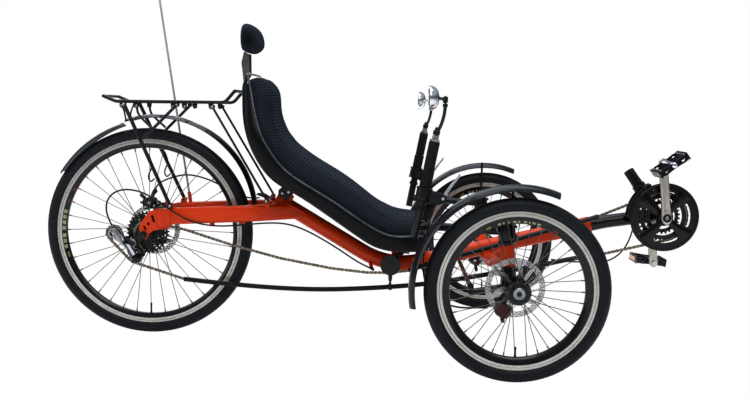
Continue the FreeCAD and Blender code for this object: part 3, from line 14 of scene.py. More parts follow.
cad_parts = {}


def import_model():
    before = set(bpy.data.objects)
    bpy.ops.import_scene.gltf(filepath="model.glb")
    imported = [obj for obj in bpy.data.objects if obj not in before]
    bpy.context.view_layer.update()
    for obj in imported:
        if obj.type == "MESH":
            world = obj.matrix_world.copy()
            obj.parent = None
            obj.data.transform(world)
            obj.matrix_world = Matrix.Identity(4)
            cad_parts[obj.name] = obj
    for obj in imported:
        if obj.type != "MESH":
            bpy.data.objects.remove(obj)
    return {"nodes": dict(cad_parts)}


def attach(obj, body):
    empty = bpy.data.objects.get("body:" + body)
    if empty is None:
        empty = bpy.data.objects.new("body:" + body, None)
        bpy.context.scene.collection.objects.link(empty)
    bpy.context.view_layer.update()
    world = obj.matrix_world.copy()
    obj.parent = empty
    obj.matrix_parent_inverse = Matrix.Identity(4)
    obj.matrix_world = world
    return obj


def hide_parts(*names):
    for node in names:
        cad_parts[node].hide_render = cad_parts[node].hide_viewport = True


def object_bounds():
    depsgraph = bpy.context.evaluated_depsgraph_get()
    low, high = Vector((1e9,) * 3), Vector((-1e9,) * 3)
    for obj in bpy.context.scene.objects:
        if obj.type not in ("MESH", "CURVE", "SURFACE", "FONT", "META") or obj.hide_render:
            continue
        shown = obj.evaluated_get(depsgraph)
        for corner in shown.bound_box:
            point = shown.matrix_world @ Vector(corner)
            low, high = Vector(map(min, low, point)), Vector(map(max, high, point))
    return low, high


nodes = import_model()["nodes"]
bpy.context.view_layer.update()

PI = math.pi
ORIGIN_X = 675.75                  # the scene's origin, ahead of the rear axle
SIDES = (("right", 1), ("left", -1))         # y = -offset * hand

# Wheel and crank centres are (x, z)
REAR = (0.0, 320.0)
REAR_RADIUS = 320.0
REAR_BEAD = 279.5                  # radius of the tyre's seat on the rim
FRONT = (1081.0, 245.0)
FRONT_RADIUS = 245.0
FRONT_BEAD = 203.0
FRONT_OFFSET = 424.0               # front wheel's middle plane from the centre plane
DISC_RADIUS = 80.0
CRANK = (1568.5, 401.7)
CRANK_LENGTH = 165.0
CRANK_ANGLE = math.radians(96.3)   # right arm, from +X towards +Z
LINK_PITCH = 12.7
CHAIN_Y = -46.0


# ------------------------------------------------------------------ shader helpers
def feed(tree, node, inputs):
    """Links the sockets and sets the plain values given for a node's inputs."""
    for key, value in inputs.items():
        if isinstance(value, bpy.types.NodeSocket):
            tree.links.new(value, node.inputs[key])
        else:
            node.inputs[key].default_value = value


def add_node(tree, kind, inputs=None, **settings):
    node = tree.nodes.new("ShaderNode" + kind)
    for key, value in settings.items():
        setattr(node, key, value)
    feed(tree, node, inputs or {})
    return node


def new_tree(owner, output="OutputMaterial"):
    """Empties the owner's node tree and gives it an output node."""
    owner.use_nodes = True
    tree = owner.node_tree
    tree.nodes.clear()
    return tree, add_node(tree, output)


def noise(tree, vector, scale, detail):
    inputs = {"Vector": vector, "Scale": scale, "Detail": detail}
    return add_node(tree, "TexNoise", inputs).outputs["Fac"]


def ramp(tree, factor, stops):
    """Colour ramp; stops are (position, colour) in rising order."""
    node = add_node(tree, "ValToRGB", {0: factor})
    elements = node.color_ramp.elements
    for index in (0, -1):
        position, color = stops[index]
        elements[index].position = position
        elements[index].color = (*color, 1)
    for position, color in stops[1:-1]:
        elements.new(position).color = (*color, 1)
    return node.outputs[0]


# ------------------------------------------------------------------ materials
def finish(name, tone, tone2, rough=0.5, drift=0.1, metal=0.0, scale=30.0, grain=900.0,
           bump=0.1, depth=0.0002, coat=0.0, coat_rough=0.06, sheen=0.0, specular=0.28,
           stretch=(1, 1, 1)):
    """Base colour drifting between two tones, roughness drifting, fine grain in the normal.

    scale sets the size of the colour patches, grain that of the bumps, depth their height.
    """
    material = bpy.data.materials.new(name)
    tree, output = new_tree(material)
    shader = add_node(tree, "BsdfPrincipled", {
        "Metallic": metal, "IOR": 1.5, "Specular IOR Level": specular if metal < 0.5 else 0.5,
        "Coat Weight": coat, "Coat Roughness": coat_rough, "Sheen Weight": sheen})
    place = add_node(tree, "TexCoord").outputs["Object"]
    place = add_node(tree, "Mapping", {"Vector": place, "Scale": stretch}).outputs[0]
    color = ramp(tree, noise(tree, place, scale, 5.0), [(0.32, tone), (0.70, tone2)])
    roughness = add_node(tree, "MapRange", {
        "Value": noise(tree, place, scale * 3.7, 3.0), "From Min": 0.3, "From Max": 0.7,
        "To Min": max(0.02, rough - drift), "To Max": min(1.0, rough + drift)}).outputs[0]
    feed(tree, shader, {"Base Color": color, "Roughness": roughness})
    if bump > 0:
        height = noise(tree, place, grain, 2.0)
        normal = add_node(tree, "Bump", {"Strength": bump, "Distance": depth, "Height": height})
        feed(tree, shader, {"Normal": normal.outputs[0]})
    feed(tree, output, {0: shader.outputs[0]})
    return material


PAINT = finish("paint_red_orange", (0.62, 0.047, 0.0012), (0.70, 0.058, 0.0018), rough=0.34,
               drift=0.05, coat=0.45, coat_rough=0.05, scale=9, grain=1500, bump=0.035,
               depth=0.0004, specular=0.10)
BLACK_METAL = finish("black_painted_metal", (0.0045, 0.0048, 0.0055), (0.009, 0.0095, 0.011),
                     rough=0.36, drift=0.08, coat=0.35, coat_rough=0.18, grain=700)
BLACK_GLOSS = finish("black_gloss", (0.0026, 0.0030, 0.0042), (0.0045, 0.0054, 0.0072),
                     rough=0.22, drift=0.05, coat=0.55, scale=12, grain=300, bump=0.03,
                     specular=0.14)
GUARD_PAINT = finish("mudguard_black", (0.0050, 0.0064, 0.0090), (0.0085, 0.0105, 0.0140),
                     rough=0.26, drift=0.05, coat=0.5, coat_rough=0.10, scale=14, grain=500,
                     bump=0.03, specular=0.15)
SHELL = finish("shell_black", (0.0030, 0.0030, 0.0034), (0.0052, 0.0052, 0.0058), rough=0.42,
               drift=0.06, coat=0.16, coat_rough=0.22, scale=18, grain=1100, bump=0.16,
               specular=0.14)
EDGE = finish("edge_silver", (0.065, 0.070, 0.080), (0.12, 0.125, 0.14), rough=0.26,
              drift=0.06, metal=0.75, grain=500, bump=0.04)
BRACKET = finish("bracket_grey", (0.17, 0.165, 0.145), (0.25, 0.24, 0.21), rough=0.42,
                 metal=0.75, scale=55, bump=0.12)
RUBBER = finish("tyre_rubber", (0.0056, 0.0072, 0.0100), (0.0105, 0.013, 0.0175), rough=0.50,
                drift=0.08, scale=60, grain=1600, bump=0.22, sheen=0.05)
RIM_BLACK = finish("rim_black", (0.004, 0.004, 0.0044), (0.007, 0.0073, 0.0082), rough=0.28,
                   drift=0.05, coat=0.4, coat_rough=0.12, scale=25, bump=0.04)
SPOKE = finish("spoke_steel", (0.13, 0.118, 0.104), (0.21, 0.195, 0.175), rough=0.30,
               drift=0.08, metal=1.0, scale=90, bump=0.04)
ROTOR = finish("rotor_steel", (0.40, 0.39, 0.38), (0.52, 0.505, 0.49), rough=0.30, drift=0.08,
               metal=1.0, scale=120, grain=1800, bump=0.14)
CHAIN = finish("chain_steel", (0.13, 0.105, 0.075), (0.38, 0.32, 0.25), rough=0.34, metal=0.9,
               scale=110)
CHROME = finish("chrome", (0.80, 0.81, 0.82), (0.86, 0.86, 0.87), rough=0.07, drift=0.03,
                metal=1.0, scale=20, bump=0.0)
ZINC = finish("zinc_bolt", (0.56, 0.56, 0.55), (0.72, 0.72, 0.70), rough=0.26, drift=0.08,
              metal=1.0, scale=160, bump=0.08)
ALLOY = finish("crank_alloy", (0.56, 0.50, 0.445), (0.68, 0.62, 0.56), rough=0.34, drift=0.07,
               metal=0.9, scale=45, grain=1300, stretch=(1, 1, 0.2))
LEVER = finish("lever_alloy", (0.50, 0.51, 0.52), (0.62, 0.63, 0.64), rough=0.24, drift=0.06,
               metal=1.0, scale=60, bump=0.05)
PLASTIC = finish("tube_plastic", (0.005, 0.0056, 0.007), (0.009, 0.010, 0.012), rough=0.30,
                 drift=0.06, grain=700, bump=0.05)
MATTE = finish("matte_plastic", (0.0055, 0.0055, 0.006), (0.010, 0.010, 0.0105), rough=0.52,
               drift=0.08, scale=40, grain=1500, bump=0.25)
GRIP = finish("grip_rubber", (0.0050, 0.0050, 0.0054), (0.0095, 0.0095, 0.010), rough=0.62,
              drift=0.08, scale=70, grain=1600, bump=0.30)
CABLE = finish("cable_housing", (0.0045, 0.0045, 0.005), (0.008, 0.008, 0.009), rough=0.34,
               drift=0.05, scale=50, bump=0.05)
POLE = finish("pole_fibre", (0.36, 0.37, 0.36), (0.46, 0.47, 0.455), rough=0.34, drift=0.05,
              scale=80, bump=0.08, stretch=(1, 1, 0.05))
CALLIPER = finish("calliper_maroon", (0.055, 0.012, 0.012), (0.085, 0.020, 0.018), rough=0.36,
                  drift=0.06, metal=0.35, coat=0.3, scale=60)
GREY_ALLOY = finish("grey_alloy", (0.30, 0.31, 0.31), (0.42, 0.43, 0.42), rough=0.34,
                    drift=0.08, metal=0.95, scale=90)
DECAL_RED = finish("decal_red", (0.16, 0.010, 0.008), (0.22, 0.016, 0.012), rough=0.34,
                   coat=0.4, scale=80, bump=0.02)
DECAL_YELLOW = finish("decal_yellow_green", (0.16, 0.17, 0.02), (0.22, 0.23, 0.035),
                      rough=0.34, coat=0.4, scale=80, bump=0.02)
DECAL_PALE = finish("decal_pale", (0.32, 0.30, 0.16), (0.42, 0.40, 0.24), rough=0.34,
                    coat=0.4, scale=80, bump=0.02)
AMBER = finish("reflector_amber", (0.62, 0.19, 0.03), (0.78, 0.28, 0.05), rough=0.14,
               coat=1.0, scale=200, grain=420, bump=0.55, depth=0.0006)
# pale lens finish, only on the right pedal, where it stands for a painted highlight
PALE_LIT_LENS = finish("reflector_pale_lit", (0.62, 0.64, 0.60), (0.85, 0.86, 0.82), rough=0.12,
               coat=1.0, scale=200, grain=420, bump=0.55, depth=0.0006)
# Spare finish, on no piece: green for a painted highlight on the pedal
finish("pedal_green_highlight", (0.12, 0.26, 0.05), (0.20, 0.36, 0.09), rough=0.3, coat=0.5, scale=90,
       bump=0.05)
DARK_STEEL = finish("dark_steel", (0.022, 0.022, 0.023), (0.060, 0.060, 0.060), rough=0.34,
                    metal=0.9, scale=120, bump=0.12)
# Spare finish, on no piece
finish("anodised_red", (0.40, 0.015, 0.012), (0.52, 0.03, 0.02), rough=0.26, metal=0.6,
       coat=0.4, scale=80, bump=0.04)
GLASS = finish("mirror_glass", (0.86, 0.88, 0.89), (0.90, 0.91, 0.92), rough=0.03, drift=0.01,
               metal=1.0, scale=10, bump=0.0)
TRACK = finish("brake_track", (0.56, 0.54, 0.49), (0.66, 0.64, 0.59), rough=0.36, drift=0.05,
               metal=0.8, scale=35, grain=1400)


def mesh_fabric():
    """Knitted mesh: navy yarn over black, cells from crossed waves on the UV lengths; the rib
    attribute paints shade into the grooves and a highlight onto the rib tops.
    """
    cell = 0.0016      # metres
    material = bpy.data.materials.new("mesh_fabric")
    tree, output = new_tree(material)
    shader = add_node(tree, "BsdfPrincipled", {
        "Roughness": 0.75, "Specular IOR Level": 0.08, "Sheen Weight": 0.02,
        "Sheen Roughness": 0.45, "Sheen Tint": (0.50, 0.62, 0.85, 1)})
    place = add_node(tree, "TexCoord")
    split = add_node(tree, "SeparateXYZ", {0: place.outputs["UV"]})

    def wave(length):
        turns = add_node(tree, "Math", {0: length, 1: 2 * PI / (cell * 2)},
                         operation="MULTIPLY")
        return add_node(tree, "Math", {0: turns.outputs[0]}, operation="SINE").outputs[0]

    def multiply(amount, color, color2):
        mix_node = add_node(tree, "MixRGB", {0: amount, 1: color, 2: color2},
                            blend_type="MULTIPLY")
        return mix_node.outputs[0]

    along = wave(split.outputs[0])
    across = wave(split.outputs[1])
    crossed = add_node(tree, "Math", {0: along, 1: across}, operation="MULTIPLY")
    yarn = add_node(tree, "MapRange", {"Value": crossed.outputs[0], "From Min": -0.55,
                                       "From Max": 0.55}).outputs[0]
    patches = noise(tree, place.outputs["Object"], 26.0, 4.0)
    rib = add_node(tree, "Attribute", attribute_name="rib").outputs["Fac"]
    # painted shade in the rib grooves, near black, rising to a painted navy-grey highlight on the
    # rib tops
    rib_light_and_shade = ramp(tree, rib, [(0.10, (0.0008, 0.0009, 0.0013)),
                                 (0.80, (0.062, 0.078, 0.105))])
    yarn_color = ramp(tree, yarn, [(0.0, (0.45, 0.45, 0.45)), (1.0, (1.0, 1.0, 1.0))])
    color = multiply(0.4, multiply(0.8, rib_light_and_shade, yarn_color), patches)
    normal = add_node(tree, "Bump", {"Strength": 0.55, "Distance": 0.0008, "Height": yarn})
    feed(tree, shader, {"Base Color": color, "Normal": normal.outputs[0]})
    feed(tree, output, {0: shader.outputs[0]})
    return material


FABRIC = mesh_fabric()
MECH_GREY = finish("mech_grey", (0.34, 0.345, 0.35), (0.48, 0.485, 0.49), rough=0.30,
                   drift=0.08, metal=0.8, scale=60, bump=0.06)
MECH_BRIGHT = finish("mech_bright", (0.62, 0.64, 0.70), (0.78, 0.80, 0.85), rough=0.22,
                     drift=0.05, metal=0.9, scale=60, bump=0.04)
PENNANT = finish("pennant_cloth", (0.72, 0.13, 0.02), (0.80, 0.18, 0.03), rough=0.7, scale=60,
                 grain=2200, bump=0.35, sheen=0.4)


# ------------------------------------------------------------------ objects
def link(ob):
    bpy.context.scene.collection.objects.link(ob)
    return ob


def make(name, verts, faces, materials, face_materials=None, sharp=35, uv=None, ribs=None):
    """Smooth mesh object from millimetre points; edges past the sharp angle stay crisp."""
    points = (np.asarray(verts, float) - np.array([ORIGIN_X, 0, 0])) * 0.001
    mesh = bpy.data.meshes.new(name)
    mesh.from_pydata(points.tolist(), [], [list(map(int, face)) for face in faces])
    for material in materials if isinstance(materials, list) else [materials]:
        mesh.materials.append(material)
    if face_materials is not None:
        mesh.polygons.foreach_set("material_index", np.asarray(face_materials, np.int32))
    mesh.polygons.foreach_set("use_smooth", np.full(len(mesh.polygons), True))
    # ribs: per-point amounts of painted shade and painted highlight for the fabric, kept as the rib
    # attribute
    if ribs is not None:
        layer = mesh.attributes.new("rib", "FLOAT", "POINT")
        layer.data.foreach_set("value", np.asarray(ribs, np.float32).ravel())
    if uv is not None:
        layer = mesh.uv_layers.new(name="UVMap")
        corners = np.empty(len(mesh.loops), np.int32)
        mesh.loops.foreach_get("vertex_index", corners)
        layer.data.foreach_set("uv", np.asarray(uv, float)[corners].ravel())
    mesh.update()
    if sharp:
        mesh.set_sharp_from_angle(angle=math.radians(sharp))
    return link(bpy.data.objects.new(name, mesh))


def recalc_normals(mesh):
    work = bmesh.new()
    work.from_mesh(mesh)
    bmesh.ops.recalc_face_normals(work, faces=work.faces)
    work.to_mesh(mesh)
    work.free()


def flip_if_inside_out(mesh):
    points = np.empty(len(mesh.vertices) * 3)
    mesh.vertices.foreach_get("co", points)
    points = points.reshape(-1, 3)
    points = points - points.mean(0)
    mesh.calc_loop_triangles()
    corners = np.empty(len(mesh.loop_triangles) * 3, np.int32)
    mesh.loop_triangles.foreach_get("vertices", corners)
    first, second, third = (points[column] for column in corners.reshape(-1, 3).T)
    if float(np.einsum("ij,ij->i", first, np.cross(second, third)).sum()) < 0:
        mesh.flip_normals()


def add_bevel(ob, width, segments, angle=40, harden=False):
    bevel = ob.modifiers.new("bevel", "BEVEL")
    bevel.width = width * 0.001
    bevel.segments = segments
    bevel.limit_method = "ANGLE"
    bevel.angle_limit = math.radians(angle)
    bevel.harden_normals = harden


def piece(name, shape, material, body, slot, replaces="", bevel=None, recalc=False,
          flip=False, **options):
    """One (verts, faces) shape as an object riding a body; bevel is (width, segments)."""
    ob = make(name, *shape, material, **options)
    if recalc:
        recalc_normals(ob.data)
    if flip:
        flip_if_inside_out(ob.data)
    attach(ob, body)
    if replaces:
        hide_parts(replaces)
    if bevel:
        add_bevel(ob, *bevel)


def assembly(name, shapes, material, body, slot, **options):
    """Many shapes as one object."""
    verts, faces = [], []
    for part_verts, part_faces in shapes:
        start = len(verts)
        faces += [[int(i) + start for i in face] for face in part_faces]
        verts += list(part_verts)
    piece(name, (verts, faces), material, body, slot, face_materials=[0] * len(faces),
          **options)


# ------------------------------------------------------------------ shapes: (verts, faces)
def grid_faces(rows, cols, close_rows, close_cols):
    index = np.arange(rows * cols).reshape(rows, cols)
    i = np.arange(rows if close_rows else rows - 1)
    j = np.arange(cols if close_cols else cols - 1)
    after_i, after_j = (i + 1) % rows, (j + 1) % cols
    corners = [index[np.ix_(*pair)] for pair in
               ((i, j), (after_i, j), (after_i, after_j), (i, after_j))]
    return np.stack(corners, -1).reshape(-1, 4).tolist()


def loft_faces(rows, cols, flip_caps=False):
    """Skin over a stack of closed loops, with a cap at each end."""
    caps = [list(range(cols)), [(rows - 1) * cols + i for i in range(cols)][::-1]]
    if flip_caps:
        caps = [cap[::-1] for cap in caps]
    return grid_faces(rows, cols, False, True) + caps


def oriented(verts, faces):
    """The shape with its faces turned so that its volume is positive."""
    points = np.asarray(verts)
    points = points - points.mean(0)
    volume = 0.0
    for face in faces:
        for j in range(1, len(face) - 1):
            normal = np.cross(points[face[j]], points[face[j + 1]])
            volume += float(np.dot(points[face[0]], normal))
    return verts, faces if volume > 0 else [face[::-1] for face in faces]


def polar(center, radius, angle):
    return center[0] + radius * math.cos(angle), center[1] + radius * math.sin(angle)


def turned_point(center, x, z, angle):
    """Point (x, z) turned by the angle and carried to the centre."""
    cos, sin = math.cos(angle), math.sin(angle)
    return center[0] + x * cos - z * sin, center[1] + x * sin + z * cos


def mix(start, end, part):
    return start + (end - start) * part


def frame_along(direction):
    along = np.asarray(direction, float) / np.linalg.norm(direction)
    helper = np.array([0, 0, 1.0]) if abs(along[2]) < 0.9 else np.array([1.0, 0, 0])
    across = np.cross(helper, along)
    across /= np.linalg.norm(across)
    return across, np.cross(along, across), along


def full_turn(count):
    return np.arange(count) * 2 * PI / count


def lathe(point, direction, profile, sides=16):
    """Turned shape standing on a point; the profile is (distance, radius)."""
    across, up, along = frame_along(direction)
    point = np.asarray(point, float)
    verts = [point + along * distance + (across * math.cos(a) + up * math.sin(a)) * radius
             for distance, radius in profile for a in full_turn(sides)]
    return verts, [face[::-1] for face in loft_faces(len(profile), sides)]


def bolt(point, direction, radius, height):
    """Button head with a round recess, seated on a point."""
    return lathe(point, direction, [
        (0, radius), (height * 0.55, radius), (height * 0.86, radius * 0.86),
        (height, radius * 0.62), (height, radius * 0.46), (height * 0.4, radius * 0.44)], 14)


def smooth_curve(points, steps=8, closed=False):
    """Catmull-Rom curve through points of any dimension."""
    p = np.asarray(points, float)
    if closed:
        padded = np.vstack([p[-1], p, p[0], p[1]])
    else:
        padded = np.vstack([2 * p[0] - p[1], p, 2 * p[-1] - p[-2]])
    out = []
    for i in range(len(padded) - 3):
        p0, p1, p2, p3 = padded[i:i + 4]
        for j in range(steps):
            t = j / steps
            out.append(0.5 * ((2 * p1) + (p2 - p0) * t + (2 * p0 - 5 * p1 + 4 * p2 - p3) * t * t
                              + (3 * p1 - p0 - 3 * p2 + p3) * t ** 3))
    if not closed:
        out.append(p[-1])
    return np.array(out)


def arc_lengths(points):
    return np.concatenate([[0], np.cumsum(np.linalg.norm(np.diff(points, axis=0), axis=1))])


def even_points(points, count, closed=False):
    """Evenly spaced points on a line, and its length."""
    p = np.asarray(points, float)
    if closed:
        p = np.vstack([p, p[:1]])
    lengths = arc_lengths(p)
    if closed:
        spots = np.linspace(0, lengths[-1], count + 1)[:-1]
    else:
        spots = np.linspace(0, lengths[-1], count)
    return np.stack([np.interp(spots, lengths, column) for column in p.T], 1), lengths[-1]


def tube(path, radius, sides=10):
    """Round section carried along a path without twist."""
    path = np.asarray(path, float)
    along = np.gradient(path, axis=0)
    along /= np.linalg.norm(along, axis=1)[:, None]
    across, up, _ = frame_along(along[0])
    angles = full_turn(sides)
    verts = []
    for i, point in enumerate(path):
        if i:
            across = across - along[i] * np.dot(across, along[i])
            across /= np.linalg.norm(across)
            up = np.cross(along[i], across)
        verts += list(point + np.outer(np.cos(angles), across) * radius
                      + np.outer(np.sin(angles), up) * radius)
    return verts, [face[::-1] for face in loft_faces(len(path), sides)]


def spun_grid(center, angles, radii, offsets):
    """Points round a Y axis through the centre (x, y, z), one row to an angle."""
    x = center[0] + radii * np.cos(angles)[:, None]
    z = center[2] + radii * np.sin(angles)[:, None]
    return np.stack(np.broadcast_arrays(x, center[1] + offsets, z), -1)


def ring(name, center, profile, material, body, slot, segments=72, closed=True):
    """Profile of (radius, y) turned about Y; an open profile gets flat ends."""
    count = len(profile)
    radii, offsets = np.array(profile, float).T
    center = (center[0], 0, center[1])
    verts = spun_grid(center, full_turn(segments), radii, offsets).reshape(-1, 3)
    faces = grid_faces(segments, count, True, closed)
    if not closed:
        faces.append([i * count for i in range(segments)][::-1])
        faces.append([i * count + count - 1 for i in range(segments)])
    piece(name, oriented(verts, faces), material, body, slot, sharp=30)


def signed_area(loop):
    x, z = np.asarray(loop).T
    return 0.5 * float(np.sum(x * np.roll(z, -1) - np.roll(x, -1) * z))


def plate(outline, holes, y0, y1):
    """Flat sheet drawn in (x, z) between y0 and y1, with openings."""
    loops = [list(map(tuple, loop)) for loop in [outline, *holes]]
    loops = [loop if (signed_area(loop) > 0) == (i == 0) else loop[::-1]
             for i, loop in enumerate(loops)]
    flat = [point for loop in loops for point in loop]
    total = len(flat)
    faces = []
    for corners in tessellate_polygon([[Vector((x, z, 0)) for x, z in l] for l in loops]):
        a, b, c = (flat[i] for i in corners)
        area = (b[0] - a[0]) * (c[1] - a[1]) - (b[1] - a[1]) * (c[0] - a[0])
        if abs(area) < 1e-9:
            continue
        corners = tuple(corners) if area > 0 else tuple(corners)[::-1]
        faces += [list(corners), [i + total for i in corners[::-1]]]
    start = 0
    for loop in loops:
        for i in range(len(loop)):
            here, after = start + i, start + (i + 1) % len(loop)
            faces.append([here, here + total, after + total, after])
        start += len(loop)
    return [(x, y, z) for y in (y0, y1) for x, z in flat], faces


def circle(center, radius, count=24, start=0.0):
    return [polar(center, radius, start + 2 * PI * i / count) for i in range(count)]


def hole_ring(center, ring_radius, radius, count, sides=8):
    return [circle(polar(center, ring_radius, 2 * PI * k / count), radius, sides)
            for k in range(count)]


def sector(center, inner, outer, start, end, steps, ease):
    """Kidney-shaped opening between two radii and two angles (degrees), corners eased."""
    start, end = math.radians(start), math.radians(end)
    ease_in, ease_out = ease / inner, ease / outer
    return [
        *(polar(center, outer, start + ease_out + (end - start - 2 * ease_out) * i / steps)
          for i in range(steps + 1)),
        polar(center, outer - ease, end), polar(center, inner + ease, end),
        *(polar(center, inner, end - ease_in - (end - start - 2 * ease_in) * i / steps)
          for i in range(steps + 1)),
        polar(center, inner + ease, start), polar(center, outer - ease, start)]


def pitch_radius(teeth):
    return LINK_PITCH / (2 * math.sin(PI / teeth))


def gear(center, teeth, start, tip=2.3):
    radius = pitch_radius(teeth)
    root = 3.9
    step = 2 * PI / teeth
    # part of a tooth step, radius
    tooth = ((-0.24, radius - root * 0.72), (-0.12, radius - root), (0.12, radius - root),
             (0.24, radius - root * 0.72), (0.41, radius + tip), (0.59, radius + tip))
    return [polar(center, r, start + k * step + part * step)
            for k in range(teeth) for part, r in tooth]


# ------------------------------------------------------------------ wheels
def tyre(name, node, body, center, radius, bead, sipes):
    """Siped tread, raised sidewall lines and beads, as one closed section."""
    section = 20.0                 # radius of the round section
    middle = radius - section      # radius of the circle through the section's centre
    lip = bead + 8.0
    shoulder = lip + 1.6
    reach = math.acos((shoulder - middle) / section)
    crown = np.linspace(-15.0, 15.0, 27) / section
    wall = np.linspace(15.0 / section, reach, 12)[1:]
    spots = np.concatenate([-wall[::-1], crown, wall])
    turns = full_turn(sipes * 7)
    turn, angle = np.meshgrid(turns, spots, indexing="ij")
    across = angle * section
    off = np.abs(across)
    phase = turn * sipes / (2 * PI)
    # slanted shoulder sipes, half a sipe apart in places by side
    away = np.abs(((phase + 0.045 * (off - 8) + 0.25 * (across > 0)) % 1.0) - 0.5)
    cut = 1.0 - np.clip((away - 0.08) / 0.10, 0, 1)
    depth = np.where((off > 6.2) & (off < 13.6), cut * 1.15 * np.clip((off - 6.2) / 1.6, 0, 1)
                     * np.clip((13.8 - off) / 1.2, 0, 1), 0)
    # groove each side of the crown, then the finer sipes between the two
    depth += 0.9 * np.exp(-((off - 5.4) / 0.8) ** 2)
    away = np.abs(((phase * 2 + 0.10 * across) % 1.0) - 0.5)
    depth += np.where(off < 4.2, (1.0 - np.clip((away - 0.07) / 0.12, 0, 1)) * 0.55
                      * np.clip((4.2 - off) / 1.2, 0, 1), 0)
    depth += 0.35 * np.exp(-((off - 15.2) / 0.7) ** 2)
    # two raised lines on each sidewall
    down = (off - 15.0) / (reach * section - 15.0)
    depth -= np.where(down > 0, 0.32 * np.exp(-((down - 0.30) / 0.05) ** 2)
                      + 0.30 * np.exp(-((down - 0.78) / 0.05) ** 2), 0)
    skin = section - depth
    outer = np.minimum(middle + skin * np.cos(angle), radius)
    # bead and inside: (radius, y)
    half = [(lip + 0.4, 9.4), (bead + 0.2, 9.4), (bead + 0.2, 6.8), (lip + 0.4, 6.8),
            (shoulder + 3, 12.6), (middle + 9.6, 12.8)]
    inside = np.array(half + [(middle + 16.8, 0)] + [(r, -y) for r, y in half[::-1]])
    inside = np.repeat(inside[None], len(turns), 0)
    radii = np.concatenate([outer, inside[:, :, 0]], 1)
    offsets = np.concatenate([skin * np.sin(angle), inside[:, :, 1]], 1)
    grid = spun_grid(center, turns, radii, offsets)
    shape = grid.reshape(-1, 3), grid_faces(*grid.shape[:2], True, True)
    piece(name, shape, RUBBER, body, "tyre_rubber", node, sharp=48, flip=True)


RED, YELLOW, PALE = 2, 3, 4        # material slots of the rim's patches


def rim(name, node, body, center, bead, inner, patches, segments):
    """Box-section rim: turned brake bands with a groove, black body, coloured patches.

    Each patch is (start degree, width in degrees, material slot, over both bands).
    """
    outer = bead + 8.0
    half_width = 12.0
    half = [(bead, 6.5), (bead, 9.6), (outer - 0.3, 9.6), (outer, 10.1),
            (outer, half_width - 0.5), (outer - 0.6, half_width), (outer - 5.6, half_width),
            (outer - 6.0, half_width - 0.35), (outer - 6.9, half_width - 0.35),
            (outer - 7.3, half_width), (outer - 14, half_width),
            (outer - 14.6, half_width - 0.45), (outer - 16.0, half_width - 0.7),
            (inner + 9, 9.4), (inner + 3.2, 7.2), (inner + 0.9, 5.2), (inner, 2.6)]
    profile = half + [(r, -y) for r, y in half[::-1]] + [(bead - 4, -5), (bead - 4, 5)]
    count = len(profile)
    radii, offsets = np.array(profile).T
    turns = full_turn(segments)
    verts = spun_grid(center, turns, radii, offsets).reshape(-1, 3)
    faces = grid_faces(segments, count, True, True)
    slots = np.zeros(len(faces), int)
    i, j = np.divmod(np.arange(len(faces)), count)
    after = (j + 1) % count
    low, high = np.minimum(radii[j], radii[after]), np.maximum(radii[j], radii[after])
    near = np.minimum(np.abs(offsets[j]), np.abs(offsets[after]))
    far = np.maximum(np.abs(offsets[j]), np.abs(offsets[after]))
    band = (low >= outer - 14.1) & (near > 10.9) & (far <= half_width + 0.01)
    groove = ((np.abs(radii[j] - (outer - 6.45)) < 0.6) & (near < half_width - 0.3)
              & (np.abs(radii[after] - (outer - 6.45)) < 0.6))
    slots[band & ~groove] = 1
    degrees = np.degrees(turns[i])
    lower = (high <= inner + 9.1) & (low >= inner + 3.1) & (near > 7.0)
    upper = (high <= outer - 15.9) & (low >= inner + 8.9) & (near > 9.0)
    for start, width, slot, both in patches:
        within = (degrees - start) % 360 <= width
        slots[within & (lower | upper if both else lower)] = slot
    piece(name, (verts, faces), [RIM_BLACK, TRACK, DECAL_RED, DECAL_YELLOW, DECAL_PALE], body,
          "rim_metal", node, face_materials=slots, sharp=25, flip=True)


def brake_disc(name, node, body, center, y0, bore):
    """Stamped disc: swept arms, three staggered rows of holes, scalloped inner edge."""
    arms = 6
    thickness = 2.0
    sweep = 0.42                   # how far an arm leans on its way out, radians
    band = DISC_RADIUS - 15.0      # inner radius of the braking band
    hub = bore + 11.0
    step = 2 * PI / arms
    holes = [circle(center, bore, 40)]
    for k in range(arms):
        start = 2 * PI * k / arms
        inner = start + 0.16 * step, start + 0.84 * step
        outer = start + 0.10 * step + sweep, start + 0.90 * step + sweep
        window = [polar(center, hub, mix(*inner, t)) for t in np.linspace(0, 1, 9)]
        window += [polar(center, mix(hub, band, t), mix(inner[1], outer[1], t))
                   for t in np.linspace(0, 1, 6)[1:-1]]
        window += [polar(center, band + 0.9 * math.cos(6 * 2 * PI * t), mix(*outer, t))
                   for t in np.linspace(1, 0, 17)]
        window += [polar(center, mix(hub, band, t), mix(inner[0], outer[0], t))
                   for t in np.linspace(1, 0, 6)[1:-1]]
        holes.append(window)
    bolts = [polar(center, bore + 5.6, 2 * PI * (k + 0.5) / arms + PI / arms)
             for k in range(arms)]
    holes += [circle(spot, 1.6, 8) for spot in bolts]
    for row, (inset, radius) in enumerate(((11.4, 1.75), (7.5, 1.5), (3.6, 1.75))):
        for k in range(36):
            angle = 2 * PI * (k + 0.5 * (row % 2)) / 36
            holes.append(circle(polar(center, DISC_RADIUS - inset, angle), radius, 8, angle))
    piece(name, plate(circle(center, DISC_RADIUS, 144), holes, y0, y0 + thickness), ROTOR,
          body, "rotor_steel", node, sharp=30)
    way = -1 if y0 < 0 else 1
    face_y = y0 + (thickness if way > 0 else 0.0)
    assembly(name + "_bolts", [bolt((x, face_y, z), (0, way, 0), 2.9, 1.6) for x, z in bolts],
             ZINC, body, "rotor_steel")


